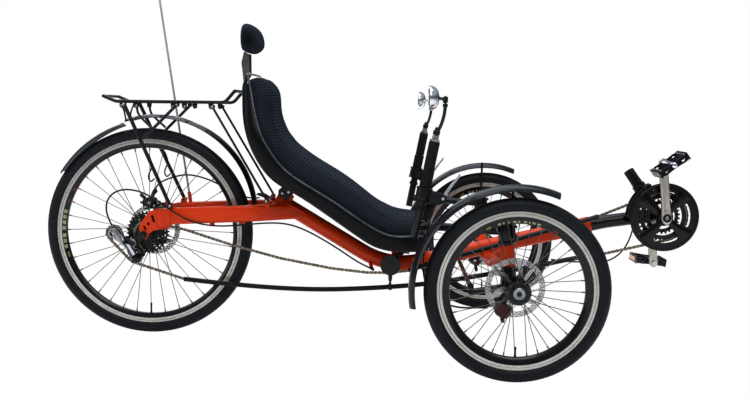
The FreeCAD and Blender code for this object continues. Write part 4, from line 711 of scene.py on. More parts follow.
def spoke_heads(name, body, center, flanges, radius, lift, crossing, profile, hand=1):
    """Spoke heads on two hub flanges; crossing leans the spokes by half hole steps."""
    heads = []
    for flange, (flange_y, side) in enumerate(zip(flanges, (-1, 1))):
        for k in range(18):
            lead = 1 if k % 2 == 0 else -1
            angle = (2 * k + flange) * 2 * PI / 36 + lead * crossing * 2 * PI / 18 * 0.5
            way = lead * side
            x, z = polar((center[0], center[2]), radius, angle)
            y = (center[1] + (flange_y + 2.6 * way) + lift * way) * hand
            heads.append(lathe((x, y, z), (0, way * hand, 0), profile, 8))
    assembly(name, heads, SPOKE, body, "spoke_steel")


def rear_wheel():
    body = "rear_wheel"
    center = (REAR[0], 0, REAR[1])
    patches = [(149, 3, RED, False), (158, 3, RED, False), (194, 3.5, YELLOW, False)]
    patches += [(start, 2.2, PALE, True)
                for start in (166, 169.6, 173.2, 176.8, 182, 185.6, 189.2)]
    tyre("rear_tyre_skin", "rear_tyre", body, center, REAR_RADIUS, REAR_BEAD, 132)
    rim("rear_rim_skin", "rear_rim", body, center, REAR_BEAD, 259.0, patches, 288)
    brake_disc("rear_rotor_skin", "rear_rotor", body, REAR, 48.2, 12.6)
    spoke_heads("rear_spoke_heads", body, center, (-20.0, 32.0), 25.2, 0.9, 3,
                [(-1.6, 1.2), (0.0, 1.9), (0.7, 1.5), (1.0, 0.7)])
    valve = [(0, 3.2), (6, 3.2), (7, 2.6), (26, 2.6), (27, 3.0), (33, 3.0), (34, 2.4)]
    piece("rear_valve", lathe((0, 0, REAR[1] - 262), (0, 0, 1), valve, 14), MATTE, body,
          "rim_metal")


def front_wheel(side, hand):
    body = "front_wheel_" + side
    y = -FRONT_OFFSET * hand
    center = (FRONT[0], y, FRONT[1])
    patches = [(113, 4, YELLOW, False), (57, 4, RED, False)]
    patches += [(start, 2.1, PALE, False)
                for start in (97.5, 101.3, 105.1, 89.0, 92.8, 80.5, 84.3, 76.7, 72.9)]
    tyre("front_tyre_skin_" + side, "front_tyre_" + side, body, center, FRONT_RADIUS,
         FRONT_BEAD, 104)
    rim("front_rim_skin_" + side, "front_rim_" + side, body, center, FRONT_BEAD, 177.0,
        patches, 256)
    brake_disc("front_rotor_skin_" + side, "front_rotor_" + side, body, FRONT,
               -385.0 if hand > 0 else 383.0, 15.4)
    # (radius, distance outboard of the wheel's middle plane)
    hub_ring = [(6.6, 38.05), (6.6, 39.6), (8.2, 40.2), (14.2, 40.2), (15.6, 39.2),
                (15.8, 38.05)]
    hub_seal = [(17.4, 33.4), (17.4, 36.4), (19.4, 36.4), (20.4, 34.2), (20.4, 33.4)]
    for name, profile, material in (("ring", hub_ring, GREY_ALLOY),
                                    ("seal", hub_seal, BLACK_METAL)):
        ring("front_hub_%s_%s" % (name, side), FRONT,
             [(radius, y - out * hand) for radius, out in profile], material, body,
             "rim_metal")
    spoke_heads("front_spoke_heads_" + side, body, (FRONT[0], -FRONT_OFFSET, FRONT[1]),
                (-26.0, 26.0), 28.2, 0.8, 2,
                [(-1.6, 1.3), (0.0, 2.0), (0.8, 1.6), (1.1, 0.7)], hand)
    valve = [(0, 3.4), (6, 3.4), (7, 2.7), (22, 2.7), (23, 3.1), (28, 3.1), (29, 2.4)]
    piece("front_valve_" + side, lathe((FRONT[0], y, FRONT[1] - 179), (0, 0, 1), valve, 14),
          MATTE, body, "rim_metal")


rear_wheel()
for side, hand in SIDES:
    front_wheel(side, hand)


# ------------------------------------------------------------------ cassette
def cassette():
    step = 4.8                         # from one cog to the next, along Y
    first = CHAIN_Y - step * 3         # the smallest cog, outermost
    for i, teeth in enumerate((11, 13, 15, 18, 21, 24, 28, 32)):
        y = first + step * i
        radius = pitch_radius(teeth)
        holes = [circle(REAR, 16.9 if teeth > 11 else 14.2, 32)]
        if radius > 42:
            count = 8 if teeth < 30 else 10
            holes += [sector(REAR, 24.0, radius - 9.0, 360.0 * j / count + 5,
                             360.0 * (j + 1) / count - 5, 5, 2.0) for j in range(count)]
        piece("cog_%d" % teeth, plate(gear(REAR, teeth, 0.05 * i), holes, y - 0.9, y + 0.9),
              DARK_STEEL, "freewheel", "chain_steel", "" if i else "cassette",
              bevel=(0.22, 1), sharp=30)
    ring("cassette_body", REAR,
         [(6.3, first - 1.6), (13.6, first - 1.6), (14.0, first - 1.2), (16.8, first + 1.0),
          (16.8, -24.3), (6.3, -24.3)], DARK_STEEL, "freewheel", "chain_steel")
    notches = []
    for k in range(12):
        x, z = polar(REAR, 11.6, 2 * PI * k / 12)
        notches.append(lathe((x, first - 2.3, z), (0, 1, 0), [(0, 0.9), (0.9, 0.9)], 6))
    assembly("lockring_notches", notches, MATTE, "freewheel", "chain_steel")


cassette()

# ------------------------------------------------------------------ chainrings and guard
SPIDER_ANGLES = [CRANK_ANGLE + PI / 4 + k * PI / 2 for k in range(4)]


def chainring(name, teeth, y, inner, material, slot, replaces=""):
    """Toothed ring whose inner edge reaches in to the bolts with four lobes."""
    reach = inner - 45.0 if inner > 46 else 2.0
    edge = []
    for k in range(96):
        angle = 2 * PI * k / 96
        lobe = abs(((angle - CRANK_ANGLE - PI / 4) % (PI / 2)) - PI / 4) / (PI / 4)
        radius = inner - reach * max(0.0, (lobe - 0.72) / 0.28) ** 0.7
        edge.append(polar(CRANK, radius, angle))
    holes = [edge]
    if teeth == 48:
        holes += hole_ring(CRANK, 86.5, 1.5, 48)
    piece(name, plate(gear(CRANK, teeth, 0.02), holes, y - 1.0, y + 1.0), material, "cranks",
          slot, replaces, bevel=(0.25, 1), sharp=30)


def guard_arm(angle):
    """Raised arm on the guard's outer face, widening towards the band."""
    rows = 14
    # (part of the half width, y from the crest line)
    section = ((-1, 2.4), (-1, 0.6), (-0.72, -0.9), (-0.3, -1.5), (0.3, -1.5), (0.72, -0.9),
               (1, 0.6), (1, 2.4))
    across = np.array([-math.sin(angle), 0, math.cos(angle)])
    verts = []
    for radius, part in zip(np.linspace(16, 90, rows), np.linspace(0, 1, rows)):
        x, z = polar(CRANK, radius, angle)
        crest = np.array([x, -63.6 - 1.2 * math.sin(PI * (radius - 16) / 74), z])
        width = 9.5 + 14.0 * part ** 2.2
        verts += [crest + across * u * width + np.array([0, y, 0]) for u, y in section]
    return verts, loft_faces(rows, len(section), flip_caps=True)


def chain_guard():
    holes = [sector(CRANK, 26.0, 78.0, 96.3 + 90 * k - 30, 96.3 + 90 * k + 30, 14, 6.0)
             for k in range(4)]
    holes += hole_ring(CRANK, 88.5, 1.25, 60)
    piece("chain_guard", plate(circle(CRANK, 102.9, 160), holes, -63.0, -59.8), BLACK_GLOSS,
          "cranks", "black_gloss", bevel=(0.7, 2), sharp=30)
    ring("guard_rib", CRANK, [(94.5, -63.0), (95.5, -64.3), (98.5, -64.3), (99.5, -63.0),
                              (99.5, -62.4), (94.5, -62.4)],
         BLACK_GLOSS, "cranks", "black_gloss", 128)
    assembly("guard_arms", [guard_arm(angle) for angle in SPIDER_ANGLES], BLACK_GLOSS,
             "cranks", "black_gloss", recalc=True)


def ring_bolts():
    shapes = []
    for angle in SPIDER_ANGLES:
        # radius from the crank axis, y, bolt radius, height, way
        for radius, y, size, height, way in ((52.0, -37.6, 5.0, 2.6, 1),
                                             (35.0, -36.2, 4.2, 2.6, 1),
                                             (72, -65.0, 3.4, 1.8, -1)):
            x, z = polar(CRANK, radius, angle)
            shapes.append(bolt((x, y, z), (0, way, 0), size, height))
        x, z = polar(CRANK, 52.0, angle)
        shapes.append(lathe((x, -56.4, z), (0, 1, 0), [(0, 5.2), (18, 5.2)], 14))
    assembly("ring_bolts", shapes, DARK_STEEL, "cranks", "black_gloss")


RING_STEP = 7.5
chainring("ring_outer", 48, CHAIN_Y - RING_STEP, 80.0, BLACK_METAL, "black_gloss",
          "chainrings")
chainring("ring_middle", 36, CHAIN_Y, 57.0, DARK_STEEL, "chain_steel")
chainring("ring_inner", 26, CHAIN_Y + RING_STEP, 38.0, DARK_STEEL, "chain_steel")
chain_guard()
ring_bolts()


# ------------------------------------------------------------------ cranks
def crank_arm(name, angle, out, replaces=""):
    """Forged arm narrowing to the pedal eye, with a shallow channel on the outer face."""
    length = CRANK_LENGTH
    spots = np.concatenate([[-19.5, -18.6, -15], np.linspace(-8, length - 6, 30),
                            [length, length + 6, length + 11, length + 13.2, length + 13.8]])
    verts = []
    for x in spots:
        part = min(1, max(0, x / length))
        width = 15.8 - 1.9 * min(1, max(0, x / 40)) - 0.7 * part
        if x > length - 22:
            width += (13.6 - width) * min(1, (x - length + 22) / 18)
        if x < 0:
            width = math.sqrt(max(0.2, 15.9 ** 2 - (x * 0.80) ** 2)) if x > -19.5 else 3.0
        if x > length:
            width = math.sqrt(max(0.5, 13.9 ** 2 - (x - length) ** 2))
        thick = 6.4 - 0.6 * part
        if x < -14 or x > length + 9:
            thick *= 0.86
        channel = 0.0
        if 20 < x < length - 20:
            channel = 1.15 if 26 < x < length - 26 else 0.6
        floor_v = -1.0 + channel / thick
        # section as parts of the half width and half thickness, outer face at v = -1
        section = ((-1, 0.35), (-0.97, -0.45), (-0.86, -0.86), (-0.55, -1.0),
                   (-0.40, floor_v), (0.40, floor_v), (0.55, -1.0), (0.86, -0.86),
                   (0.97, -0.45), (1, 0.35), (0.9, 0.85), (0.6, 1.0), (-0.6, 1.0),
                   (-0.9, 0.85))
        for u, v in section:
            px, pz = turned_point(CRANK, x, u * width, angle)
            verts.append((px, 81.0 * out - out * v * thick, pz))
    piece(name, (verts, loft_faces(len(spots), len(section), flip_caps=True)), ALLOY,
          "cranks", "crank_alloy", replaces, recalc=True, sharp=50)


crank_arm("crank_arm_right", CRANK_ANGLE, -1, "crankset")
crank_arm("crank_arm_left", CRANK_ANGLE + PI, 1)
ring("spindle", CRANK, [(8.45, -74), (8.45, 74)], DARK_STEEL, "cranks", "crank_alloy", 32,
     closed=False)
ring("spider_hub", CRANK, [(10, -38), (14.5, -38), (15, -55), (22, -58), (23, -66),
                           (20, -74.6), (10, -74.6)],
     BLACK_GLOSS, "cranks", "black_gloss", 48)
ring("arm_boss_left", CRANK, [(9, 50), (14, 50), (17, 75.4), (9, 75.4)], ALLOY, "cranks",
     "crank_alloy", 48)
# (radius, distance outboard of the arm's outer face)
BOLT_RING = [(6.0, 0.6), (12.2, 0.6), (12.8, 1.4), (12.0, 2.0), (6.0, 2.0)]
BOLT_CAP = [(0.9, 1.0), (5.2, 1.0), (5.2, 2.0), (4.0, 2.6), (0.9, 2.0)]
PEDAL_EYE = [(7.1, 0.7), (10.2, 0.7), (10.2, -0.6), (7.1, -0.6)]
for side, hand in SIDES:
    def outboard(profile):
        return [(radius, -hand * (87.0 + out)) for radius, out in profile]

    eye = turned_point(CRANK, CRANK_LENGTH, 0, CRANK_ANGLE if hand > 0 else CRANK_ANGLE + PI)
    ring("crank_bolt_ring_" + side, CRANK, outboard(BOLT_RING), MATTE, "cranks",
         "black_gloss", 40)
    ring("crank_bolt_cap_" + side, CRANK, outboard(BOLT_CAP), GREY_ALLOY, "cranks",
         "crank_alloy", 32, closed=False)
    ring("pedal_eye_" + side, eye, outboard(PEDAL_EYE), DARK_STEEL, "cranks", "crank_alloy",
         32)


# ------------------------------------------------------------------ pedals
def standing_plate(x, outline, holes, half):
    """Sheet drawn in (y, z) and standing across X."""
    verts, faces = plate(outline, holes, -half, half)
    return [(x + b, a, c) for a, b, c in verts], faces


def pedal_cage():
    teeth = 11
    step = 88 / teeth
    edge = []
    for k in range(teeth):
        y = 99 + 88 * k / teeth
        edge += [(y + 0.12 * step, 10.0), (y + 0.38 * step, 12.6),
                 (y + 0.62 * step, 12.6), (y + 0.88 * step, 10.0)]
    outline = edge + [(y, -z) for y, z in edge[::-1]]
    slots = [[(y, -5), (y + 16, -5), (y + 16, 5), (y, 5)] for y in (104, 166)]
    shapes = [standing_plate(way * 46.5, outline, slots, 1.3) for way in (-1, 1)]
    end = [(-46, -8), (-30, -10.5), (-12, -9), (12, -9), (30, -10.5), (46, -8), (46, 8),
           (30, 10.5), (12, 9), (-12, 9), (-30, 10.5), (-46, 8)]
    for y, hole in ((99.5, 5), (182.5, 5.5)):
        holes = [circle((x, 0), hole, 14) for x in (-28, 28)]
        shapes.append(plate(end, holes, y, y + 4.0))
    rib = [(-45.5, -6), (-12, -8.5), (12, -8.5), (45.5, -6), (45.5, 6), (12, 8.5),
           (-12, 8.5), (-45.5, 6)]
    return shapes + [plate(rib, [], y, y + 3.2) for y in (128.0, 154.0)]


def pedal_pins():
    shapes = []
    for way in (-1, 1):
        for y in (106, 124, 143, 162, 180):
            for up in (-1, 1):
                shapes.append(lathe((way * 40, y, up * 8), (0, 0, up),
                                    [(0, 2.4), (2.6, 2.2), (4.4, 1.1)], 8))
        shapes.append(standing_plate(way * 40, [(101, -3), (186, -3), (186, 3), (101, 3)],
                                     [], 2.0))
    return shapes


def pedal(side, hand, angle, tilt, barrel_finish, cage_finish, lens_finish, pin_finish):
    """Platform pedal, drawn for the left side about its spindle; tilt is in degrees."""
    eye = turned_point(CRANK, CRANK_LENGTH, 0, angle)

    def posed(shape):
        verts = []
        for x, y, z in shape[0]:
            px, pz = turned_point(eye, x, z, math.radians(tilt))
            verts.append((px, -hand * y, pz))
        return verts, shape[1]

    barrel = lathe((0, 97, 0), (0, 1, 0), [(0, 9.5), (2, 11), (9, 11.4), (16, 10), (60, 9.2),
                                           (76, 9.6), (86, 9.8), (89, 8.6), (91, 5)], 24)
    lens = [(112, -6.5), (174, -6.5), (175.5, -5), (175.5, 5), (174, 6.5), (112, 6.5),
            (110.5, 5), (110.5, -5)]
    lenses = [standing_plate(way * 49.4, lens, [], 1.2) for way in (-1, 1)]
    spindle = lathe((0, 68.5, 0), (0, 1, 0),
                    [(0, 6.4), (1, 6.9), (18.6, 6.9), (19, 6.5), (19.4, 9.2), (25, 9.6),
                     (27, 8.8), (29, 8.0)], 20)
    for part, shapes, material, slot, replaces, bevel in (
            ("barrel", [barrel], barrel_finish, "black_metal", "pedal_" + side, None),
            ("cage", pedal_cage(), cage_finish, "black_metal", "", (0.5, 2)),
            ("reflectors", lenses, lens_finish, "black_metal", "", (0.5, 2)),
            ("pins", pedal_pins(), pin_finish, "black_metal", "", None),
            ("spindle", [spindle], ZINC, "crank_alloy", "", None)):
        assembly("pedal_%s_%s" % (part, side), [posed(shape) for shape in shapes], material,
                 side + "_pedal", slot, replaces=replaces, bevel=bevel, recalc=True)


# The pair is drawn in two finishes: the right pedal has a chrome barrel, pale lenses and alloy pins
# where the left has black parts and amber lenses; the right pedal's pale lenses and bright parts
# are painted highlights.
pedal("right", 1, CRANK_ANGLE, 37.0, CHROME, BLACK_GLOSS, PALE_LIT_LENS, LEVER)
pedal("left", -1, CRANK_ANGLE + PI, -6.0, BLACK_METAL, BLACK_METAL, AMBER, BLACK_METAL)

# ------------------------------------------------------------------ chain
# Closed run of the pin line, (x, z): top run forward, round the rings, back underneath,
# then round the two small wheels of the rear mech and over the cog
CHAIN_RUN = [
    (7.3, 355.8), (120.0, 333.0), (256.0, 291.0), (412.5, 250.5), (569.0, 222.5),
    (680.0, 211.5), (749.7, 212.8), (751.2, 212.8), (752.7, 213.0), (806.0, 220.5),
    (843.2, 234.4), (880.8, 247.0), (918.8, 258.5), (956.9, 269.6), (995.0, 280.8),
    (1033.1, 292.0), (1071.0, 303.7), (1108.8, 315.8), (1146.5, 328.2), (1184.4, 340.0),
    (1222.5, 351.3), (1260.6, 362.4), (1298.6, 373.7), (1336.5, 385.6), (1374.0, 398.5),
    (1540.1, 468.8), (1551.0, 472.4), (1562.3, 474.3), (1573.7, 474.4), (1585.0, 472.7),
    (1595.9, 469.2), (1606.2, 464.1), (1615.5, 457.4), (1623.6, 449.4), (1630.4, 440.1),
    (1635.6, 430.0), (1639.2, 419.1), (1641.1, 407.8), (1641.2, 396.4), (1639.4, 385.1),
    (1636.0, 374.2), (1630.8, 363.9), (1624.1, 354.6), (1616.1, 346.5), (1606.8, 339.7),
    (1596.7, 334.5), (1585.8, 330.9), (1359.0, 275.5), (1321.3, 270.9), (1284.0, 263.6),
    (1247.0, 255.0), (1210.0, 246.4), (1172.8, 238.5), (1135.5, 231.1), (1098.2, 223.9),
    (1060.9, 216.8), (1023.6, 209.6), (986.2, 202.5), (948.9, 195.6), (911.4, 189.0),
    (873.9, 183.0), (836.3, 177.8), (798.5, 173.5), (760.7, 169.8), (722.8, 166.5),
    (685.0, 163.7), (647.0, 161.1), (609.1, 159.0), (571.1, 157.4), (533.1, 156.5),
    (495.1, 156.3), (457.1, 156.8), (419.2, 157.9), (381.2, 159.5), (343.2, 161.6),
    (305.3, 164.0), (267.4, 166.7), (229.5, 169.7), (191.7, 172.9), (153.8, 176.4),
    (116.0, 180.0), (-39.5, 228.9), (-46.7, 232.3), (-52.9, 237.4), (-115.4, 303.5),
    (-118.4, 307.5), (-120.5, 312.1), (-121.4, 317.0), (-121.3, 322.0), (-120.1, 326.8),
    (-117.9, 331.3), (-114.7, 335.2), (-110.7, 338.2), (-106.2, 340.4), (-101.3, 341.4),
    (-96.3, 341.4), (-91.4, 340.2), (-87.0, 338.0), (-83.0, 334.9), (-79.9, 331.0),
    (-77.7, 326.5), (-51.3, 251.5), (-49.2, 247.2), (-46.3, 243.4), (-42.6, 240.3),
    (-38.4, 238.1), (-33.8, 236.8), (-29.0, 236.5), (-24.3, 237.2), (-19.8, 238.9),
    (-15.8, 241.5), (-12.4, 244.9), (-9.9, 248.9), (-8.2, 253.4), (-7.5, 258.1),
    (-7.8, 262.9), (-9.1, 267.5), (-11.4, 271.7), (-30.2, 299.4), (-33.1, 304.4),
    (-35.1, 309.8), (-36.3, 315.5), (-36.5, 321.3), (-35.9, 327.0), (-34.4, 332.5),
    (-32.0, 337.8), (-28.8, 342.6), (-24.9, 346.8), (-20.3, 350.4), (-15.3, 353.2),
    (-9.9, 355.2), (-4.2, 356.3), (1.5, 356.5)]


def link_plate(start, end, y0, y1):
    """Waisted link plate round two pins."""
    along = end - start
    along /= np.linalg.norm(along)
    across = np.array([-along[1], along[0]])
    loop = []
    for pin, way in ((end, 1), (start, -1)):
        for angle in np.linspace(-PI / 2, PI / 2, 6):
            out = along * math.cos(angle) + across * math.sin(angle)
            loop.append(tuple(pin + out * way * 4.0))
        loop.append(tuple((start + end) / 2 + across * way * 2.9))
    count = len(loop)
    verts = [(x, CHAIN_Y + y, z) for y in (y0, y1) for x, z in loop]
    faces = [list(range(count)), [count + j for j in range(count)][::-1]]
    faces += [[j, j + count, (j + 1) % count + count, (j + 1) % count] for j in range(count)]
    return verts, faces if signed_area(loop) > 0 else [face[::-1] for face in faces]


def chain():
    total = arc_lengths(CHAIN_RUN + CHAIN_RUN[:1])[-1]
    count = int(round(total / LINK_PITCH / 2)) * 2
    pins, _ = even_points(CHAIN_RUN, count, closed=True)
    outer, inner, rollers = [], [], []
    for i in range(count):
        start, end = pins[i], pins[(i + 1) % count]
        links, near, far = (outer, 2.4, 3.3) if i % 2 else (inner, 1.5, 2.3)
        links += [link_plate(start, end, -far, -near), link_plate(start, end, near, far)]
        rollers.append(lathe((start[0], CHAIN_Y - 3.6, start[1]), (0, 1, 0),
                             [(0, 1.0), (0.2, 1.5), (7.0, 1.5), (7.2, 1.0)], 8))
        rollers.append(lathe((start[0], CHAIN_Y - 1.4, start[1]), (0, 1, 0),
                             [(0, 3.6), (2.8, 3.6)], 8))
    assembly("chain_outer_links", outer, CHAIN, "frame", "chain_steel", replaces="chain")
    assembly("chain_inner_links", inner, CHAIN, "frame", "chain_steel")
    assembly("chain_rollers", rollers, DARK_STEEL, "frame", "chain_steel")


chain()

GUIDE = np.array([-30.0, 259.0])       # centres of the rear mech's two small wheels
TENSION = np.array([-99.0, 319.0])


def pulley(name, body, center, teeth, bore):
    holes = [circle(center, 8.6)]
    holes += hole_ring(center, pitch_radius(teeth) - 8.4, 2.0, 6, 10)
    piece(name + "_teeth", plate(gear(center, teeth, 0.1, tip=1.9), holes,
                                 CHAIN_Y - 1.0, CHAIN_Y + 1.0),
          MATTE, body, "tube_plastic", name + "_pulley", bevel=(0.3, 1), sharp=30)
    ring(name + "_bearing", center,
         [(bore, CHAIN_Y - 4.3), (6.4, CHAIN_Y - 4.3), (8.8, CHAIN_Y - 3.6),
          (8.8, CHAIN_Y + 3.6), (6.4, CHAIN_Y + 4.3), (bore, CHAIN_Y + 4.3)],
         DARK_STEEL, body, "chain_steel", 32)


pulley("idler", "idler", (749.3, 237.3), 12, 4.1)
pulley("guide", "guide_wheel", GUIDE, 11, 3.1)
pulley("tension", "tension_wheel", TENSION, 11, 3.1)

# ------------------------------------------------------------------ padded shapes
def puff(name, grid, pins, pressure, frames, limit):
    """Swells a closed grid with cloth pressure; returns each point's move, up to a limit."""
    rows, cols, _ = grid.shape
    verts = grid.reshape(-1, 3)
    ob = make(name, *oriented(verts, loft_faces(rows, cols)), FABRIC)
    group = ob.vertex_groups.new(name="pin")
    for i, weight in enumerate(pins.ravel()):
        if weight > 0:
            group.add([i], float(weight), "REPLACE")
    cloth = ob.modifiers.new("cloth", "CLOTH")
    settings = cloth.settings
    settings.quality = 5
    settings.mass = 0.3
    settings.use_pressure = True
    settings.uniform_pressure_force = pressure
    settings.tension_stiffness = 25
    settings.compression_stiffness = 25
    settings.shear_stiffness = 12
    settings.bending_stiffness = 0.6
    settings.air_damping = 3.0
    settings.effector_weights.gravity = 0
    settings.vertex_group_mass = "pin"
    cloth.collision_settings.use_collision = False
    cloth.collision_settings.use_self_collision = False
    scene = bpy.context.scene
    for frame in range(1, frames + 1):
        scene.frame_set(frame)
    swollen = ob.evaluated_get(bpy.context.evaluated_depsgraph_get())
    points = np.empty(len(swollen.data.vertices) * 3)
    swollen.data.vertices.foreach_get("co", points)
    moved = points.reshape(-1, 3) * 1000 + np.array([ORIGIN_X, 0, 0]) - verts
    scene.frame_set(1)
    mesh = ob.data
    bpy.data.objects.remove(ob)
    bpy.data.meshes.remove(mesh)
    lengths = np.linalg.norm(moved, axis=1)[:, None]
    moved *= np.minimum(1.0, limit / np.maximum(lengths, 1e-6))
    return smoothed(moved.reshape(rows, cols, 3))


def smoothed(moves):
    for _ in range(2):
        rows = moves.copy()
        rows[1:-1] = (moves[:-2] + 2 * moves[1:-1] + moves[2:]) / 4
        moves = (np.roll(rows, 1, 1) + 2 * rows + np.roll(rows, -1, 1)) / 4
    return moves


def upsample(moves, row_count, columns, eased=False):
    """Moves of a coarse grid read at finer rows and at the given coarse column numbers."""
    rows, cols, _ = moves.shape
    spots = np.linspace(0, rows - 1, row_count)
    i = np.clip(spots.astype(int), 0, rows - 2)
    part = (spots - i)[:, None, None]
    if eased:
        part = part * part * (3 - 2 * part)
    between = moves[i] * (1 - part) + moves[i + 1] * part
    j = columns.astype(int) % cols
    part = (columns - columns.astype(int))[None, :, None]
    return between[:, j] * (1 - part) + between[:, (j + 1) % cols] * part


def grid_normals(grid):
    down = np.gradient(grid, axis=0)
    round_ = (np.roll(grid, -1, 1) - np.roll(grid, 1, 1)) / 2
    normals = np.cross(round_, down)
    normals /= np.maximum(np.linalg.norm(normals, axis=2, keepdims=True), 1e-9)
    sign = np.sign(np.sum(normals * (grid - grid.mean(1, keepdims=True)), axis=2).sum())
    return normals * (sign if sign else 1)


def fabric_piece(name, grid, uv, ribs, replaces):
    shape = grid.reshape(-1, 3), loft_faces(*grid.shape[:2])
    # ribs carries the painted shade of the rib grooves and the painted highlight of the rib tops
    piece(name, shape, FABRIC, "frame", "mesh_fabric", replaces, flip=True, sharp=0,
          uv=uv.reshape(-1, 2), ribs=ribs)


# ------------------------------------------------------------------ seat cushion
# Sections from the top of the back to the front of the seat:
# base x, z; edge x, z; top x, z; half width of the seat shell
SEAT_STATIONS = np.array([
    (313, 780, 325, 797, 351, 812, 127), (309, 736, 337, 740, 391, 762, 156),
    (314, 678, 357, 664, 396, 692, 178), (326, 623, 374, 620, 412, 643, 188),
    (350, 566, 396, 584, 436, 608, 191), (402, 499, 430, 540, 462, 584, 192),
    (464, 462, 486, 497, 512, 549, 193), (557, 403, 580, 441, 606, 493, 193),
    (652, 338, 676, 378, 694, 427, 192), (698, 311, 716, 356, 728, 408, 191),
    (745, 298, 752, 344, 762, 396, 190), (815, 296, 818, 344, 822, 387, 186),
    (852, 299, 854, 338, 858, 374, 166)], float)


def seat_sections(count):
    """Evenly spaced sections, and how far along the seat each lies."""
    fine = smooth_curve(SEAT_STATIONS, 24)
    lengths = arc_lengths(fine[:, 2:4] * 0.5 + fine[:, 4:6] * 0.5)
    spots = np.linspace(0, lengths[-1], count)
    return np.stack([np.interp(spots, lengths, column) for column in fine.T], 1), spots


def cushion_grid(count, over, under):
    """Closed section loops (over points above, under points below) and their UV lengths."""
    floor = 9.0                    # underside above the base line
    sections, spots = seat_sections(count)
    grid = np.zeros((count, over + under, 3))
    uv = np.zeros((count, over + under, 2))
    for i, row in enumerate(sections):
        base, edge, top, half_width = row[0:2], row[2:4], row[4:6], row[6]
        up = top - base
        height = np.linalg.norm(up)
        up = up / height
        edge_height = float(np.dot(edge - base, up))
        height -= 4.0
        # ends round over
        swell = 1.0
        for distance, radius in ((spots[i], 26.0), (spots[-1] - spots[i], 36.0)):
            if distance < radius:
                swell *= math.sqrt(max(0.02, 1 - (1 - distance / radius) ** 2))
        side = half_width - 10.5
        rise = height - edge_height
        half = [(side - 44, floor), (side - 11, floor + (edge_height - floor) * 0.4),
                (side - 4, edge_height), (side - 3.5, edge_height + rise * 0.42),
                (side - 13, edge_height + rise * 0.80), (side - 34, edge_height + rise * 0.975),
                (side - 70, height + 0.4), (side - 120, height)]
        upper = [(-y, z) for y, z in half[2:]] + [(0, height - 1.0)] + half[2:][::-1]
        lower = half[2::-1] + [(0, floor)] + [(-y, z) for y, z in half[:3]]
        upper, upper_length = even_points(smooth_curve(upper, 10), over + 1)
        lower, lower_length = even_points(smooth_curve(lower, 6), under + 1)
        loop = np.vstack([upper[:-1], lower[:-1]])
        height_in = floor + 3
        z = height_in + (loop[:, 1] - height_in) * swell
        grid[i, :, 0] = base[0] + up[0] * z
        grid[i, :, 1] = loop[:, 0] * (0.84 + 0.16 * swell)
        grid[i, :, 2] = base[1] + up[1] * z
        start = upper_length / 2
        girth = [np.linspace(-start, start, over + 1)[:-1],
                 np.linspace(start, start + lower_length, under + 1)[:-1]]
        uv[i, :, 0] = spots[i] * 0.001
        uv[i, :, 1] = np.concatenate(girth) * 0.001
    return grid, uv


def seat_cushion():
    """Cushion swollen by cloth, then ribbed, with piping in its two shoulder seams."""
    rib = 9.3                      # rib spacing
    length = seat_sections(2)[1][-1]
    count = int(length / rib * (6)) + 1
    over, under = (190), 14
    coarse, _ = cushion_grid(84, 40, 10)
    grid, uv = cushion_grid(count, over, under)
    pins = np.zeros(coarse.shape[:2])
    pins[:, :3] = pins[:, 38:] = 1.0
    pins[:2] = pins[-2:] = 0.6
    moves = puff("cushion_trial", coarse, pins, pressure=3.2, frames=18, limit=6.5)
    columns = np.concatenate([np.linspace(0, 40, over + 1)[:-1],
                              40 + np.linspace(0, 10, under + 1)[:-1]])
    grid = grid + upsample(moves, count, columns, eased=True)
    normals = grid_normals(grid)
    along = uv[:, :, 0] * 1000
    across = uv[:, :, 1] * 1000
    off = np.abs(across)
    half = off[:, :over].max(1, keepdims=True)
    # rib lines slant down the side panels, where a diamond pattern joins them
    side = np.clip((off - (half - 66)) / 14.0, 0, 1)
    side[:, over:] = 0
    phase = along / rib + side * (off - (half - 66)) / 46.0
    ribs = np.abs(np.cos(PI * phase)) ** 0.55
    cells = np.cos(2 * PI * across / 9.6 + PI * np.round(phase))
    diamonds = (np.cos(2 * PI * (along / 11.0 + off / 9.0))
                * np.cos(2 * PI * (along / 11.0 - off / 9.0)))
    height = 1.5 * ribs + 0.35 * cells * ribs
    height = height * (1 - side) + side * (0.75 * ribs + 0.75 * diamonds)
    # shade: painted shade in the grooves between ribs and in the side panels' diamond hollows,
    # painted highlight on the rib and diamond tops; it goes to the fabric as the rib attribute
    shade = (np.clip(ribs * (0.72 + 0.28 * cells), 0, 1) * (1 - side)
             + side * np.clip(0.35 * ribs + 0.42 * (diamonds + 1) / 2 * 1.3 - 0.05, 0, 1))
    seam = np.exp(-((off - (half - 62)) / 2.0) ** 2) * 1.3
    ends = np.clip(along / 30.0, 0, 1) * np.clip((length - along) / 30.0, 0, 1)
    height = height * (0.35 + 0.65 * ends)
    fade = np.clip((half - off) / 10.0, 0, 1)
    fade[:, over:] = 0
    grid = grid + normals * ((height - 1.75) * fade + seam * 0.35 * fade)[:, :, None]
    fabric_piece("seat_cushion_mesh", grid, uv, shade, "seat_cushion")
    for side_name, way in (("right", -1), ("left", 1)):
        path = []
        for i in range(4, count - 4, 3):
            seam_at = way * (float(half[i, 0]) - 62)
            j = int(np.argmin(np.abs(across[i, :over] - seam_at)))
            path.append(grid[i, j] + normals[i, j] * 0.05)
        path = np.array(path)
        for _ in range(6):
            path[1:-1] = (path[:-2] + 2 * path[1:-1] + path[2:]) / 4
        piece("cushion_piping_" + side_name, tube(path, 1.15, 6), MATTE, "frame",
              "mesh_fabric")


seat_cushion()

# ------------------------------------------------------------------ headrest pad
# Outline of the pad's middle section, (x, z)
PAD_OUTLINE = [(291, 880), (287.5, 915), (291, 947), (302, 960), (322, 956), (340, 940),
               (350, 912), (347, 886), (326, 869), (303, 870)]
PAD_CENTER = (318, 914)


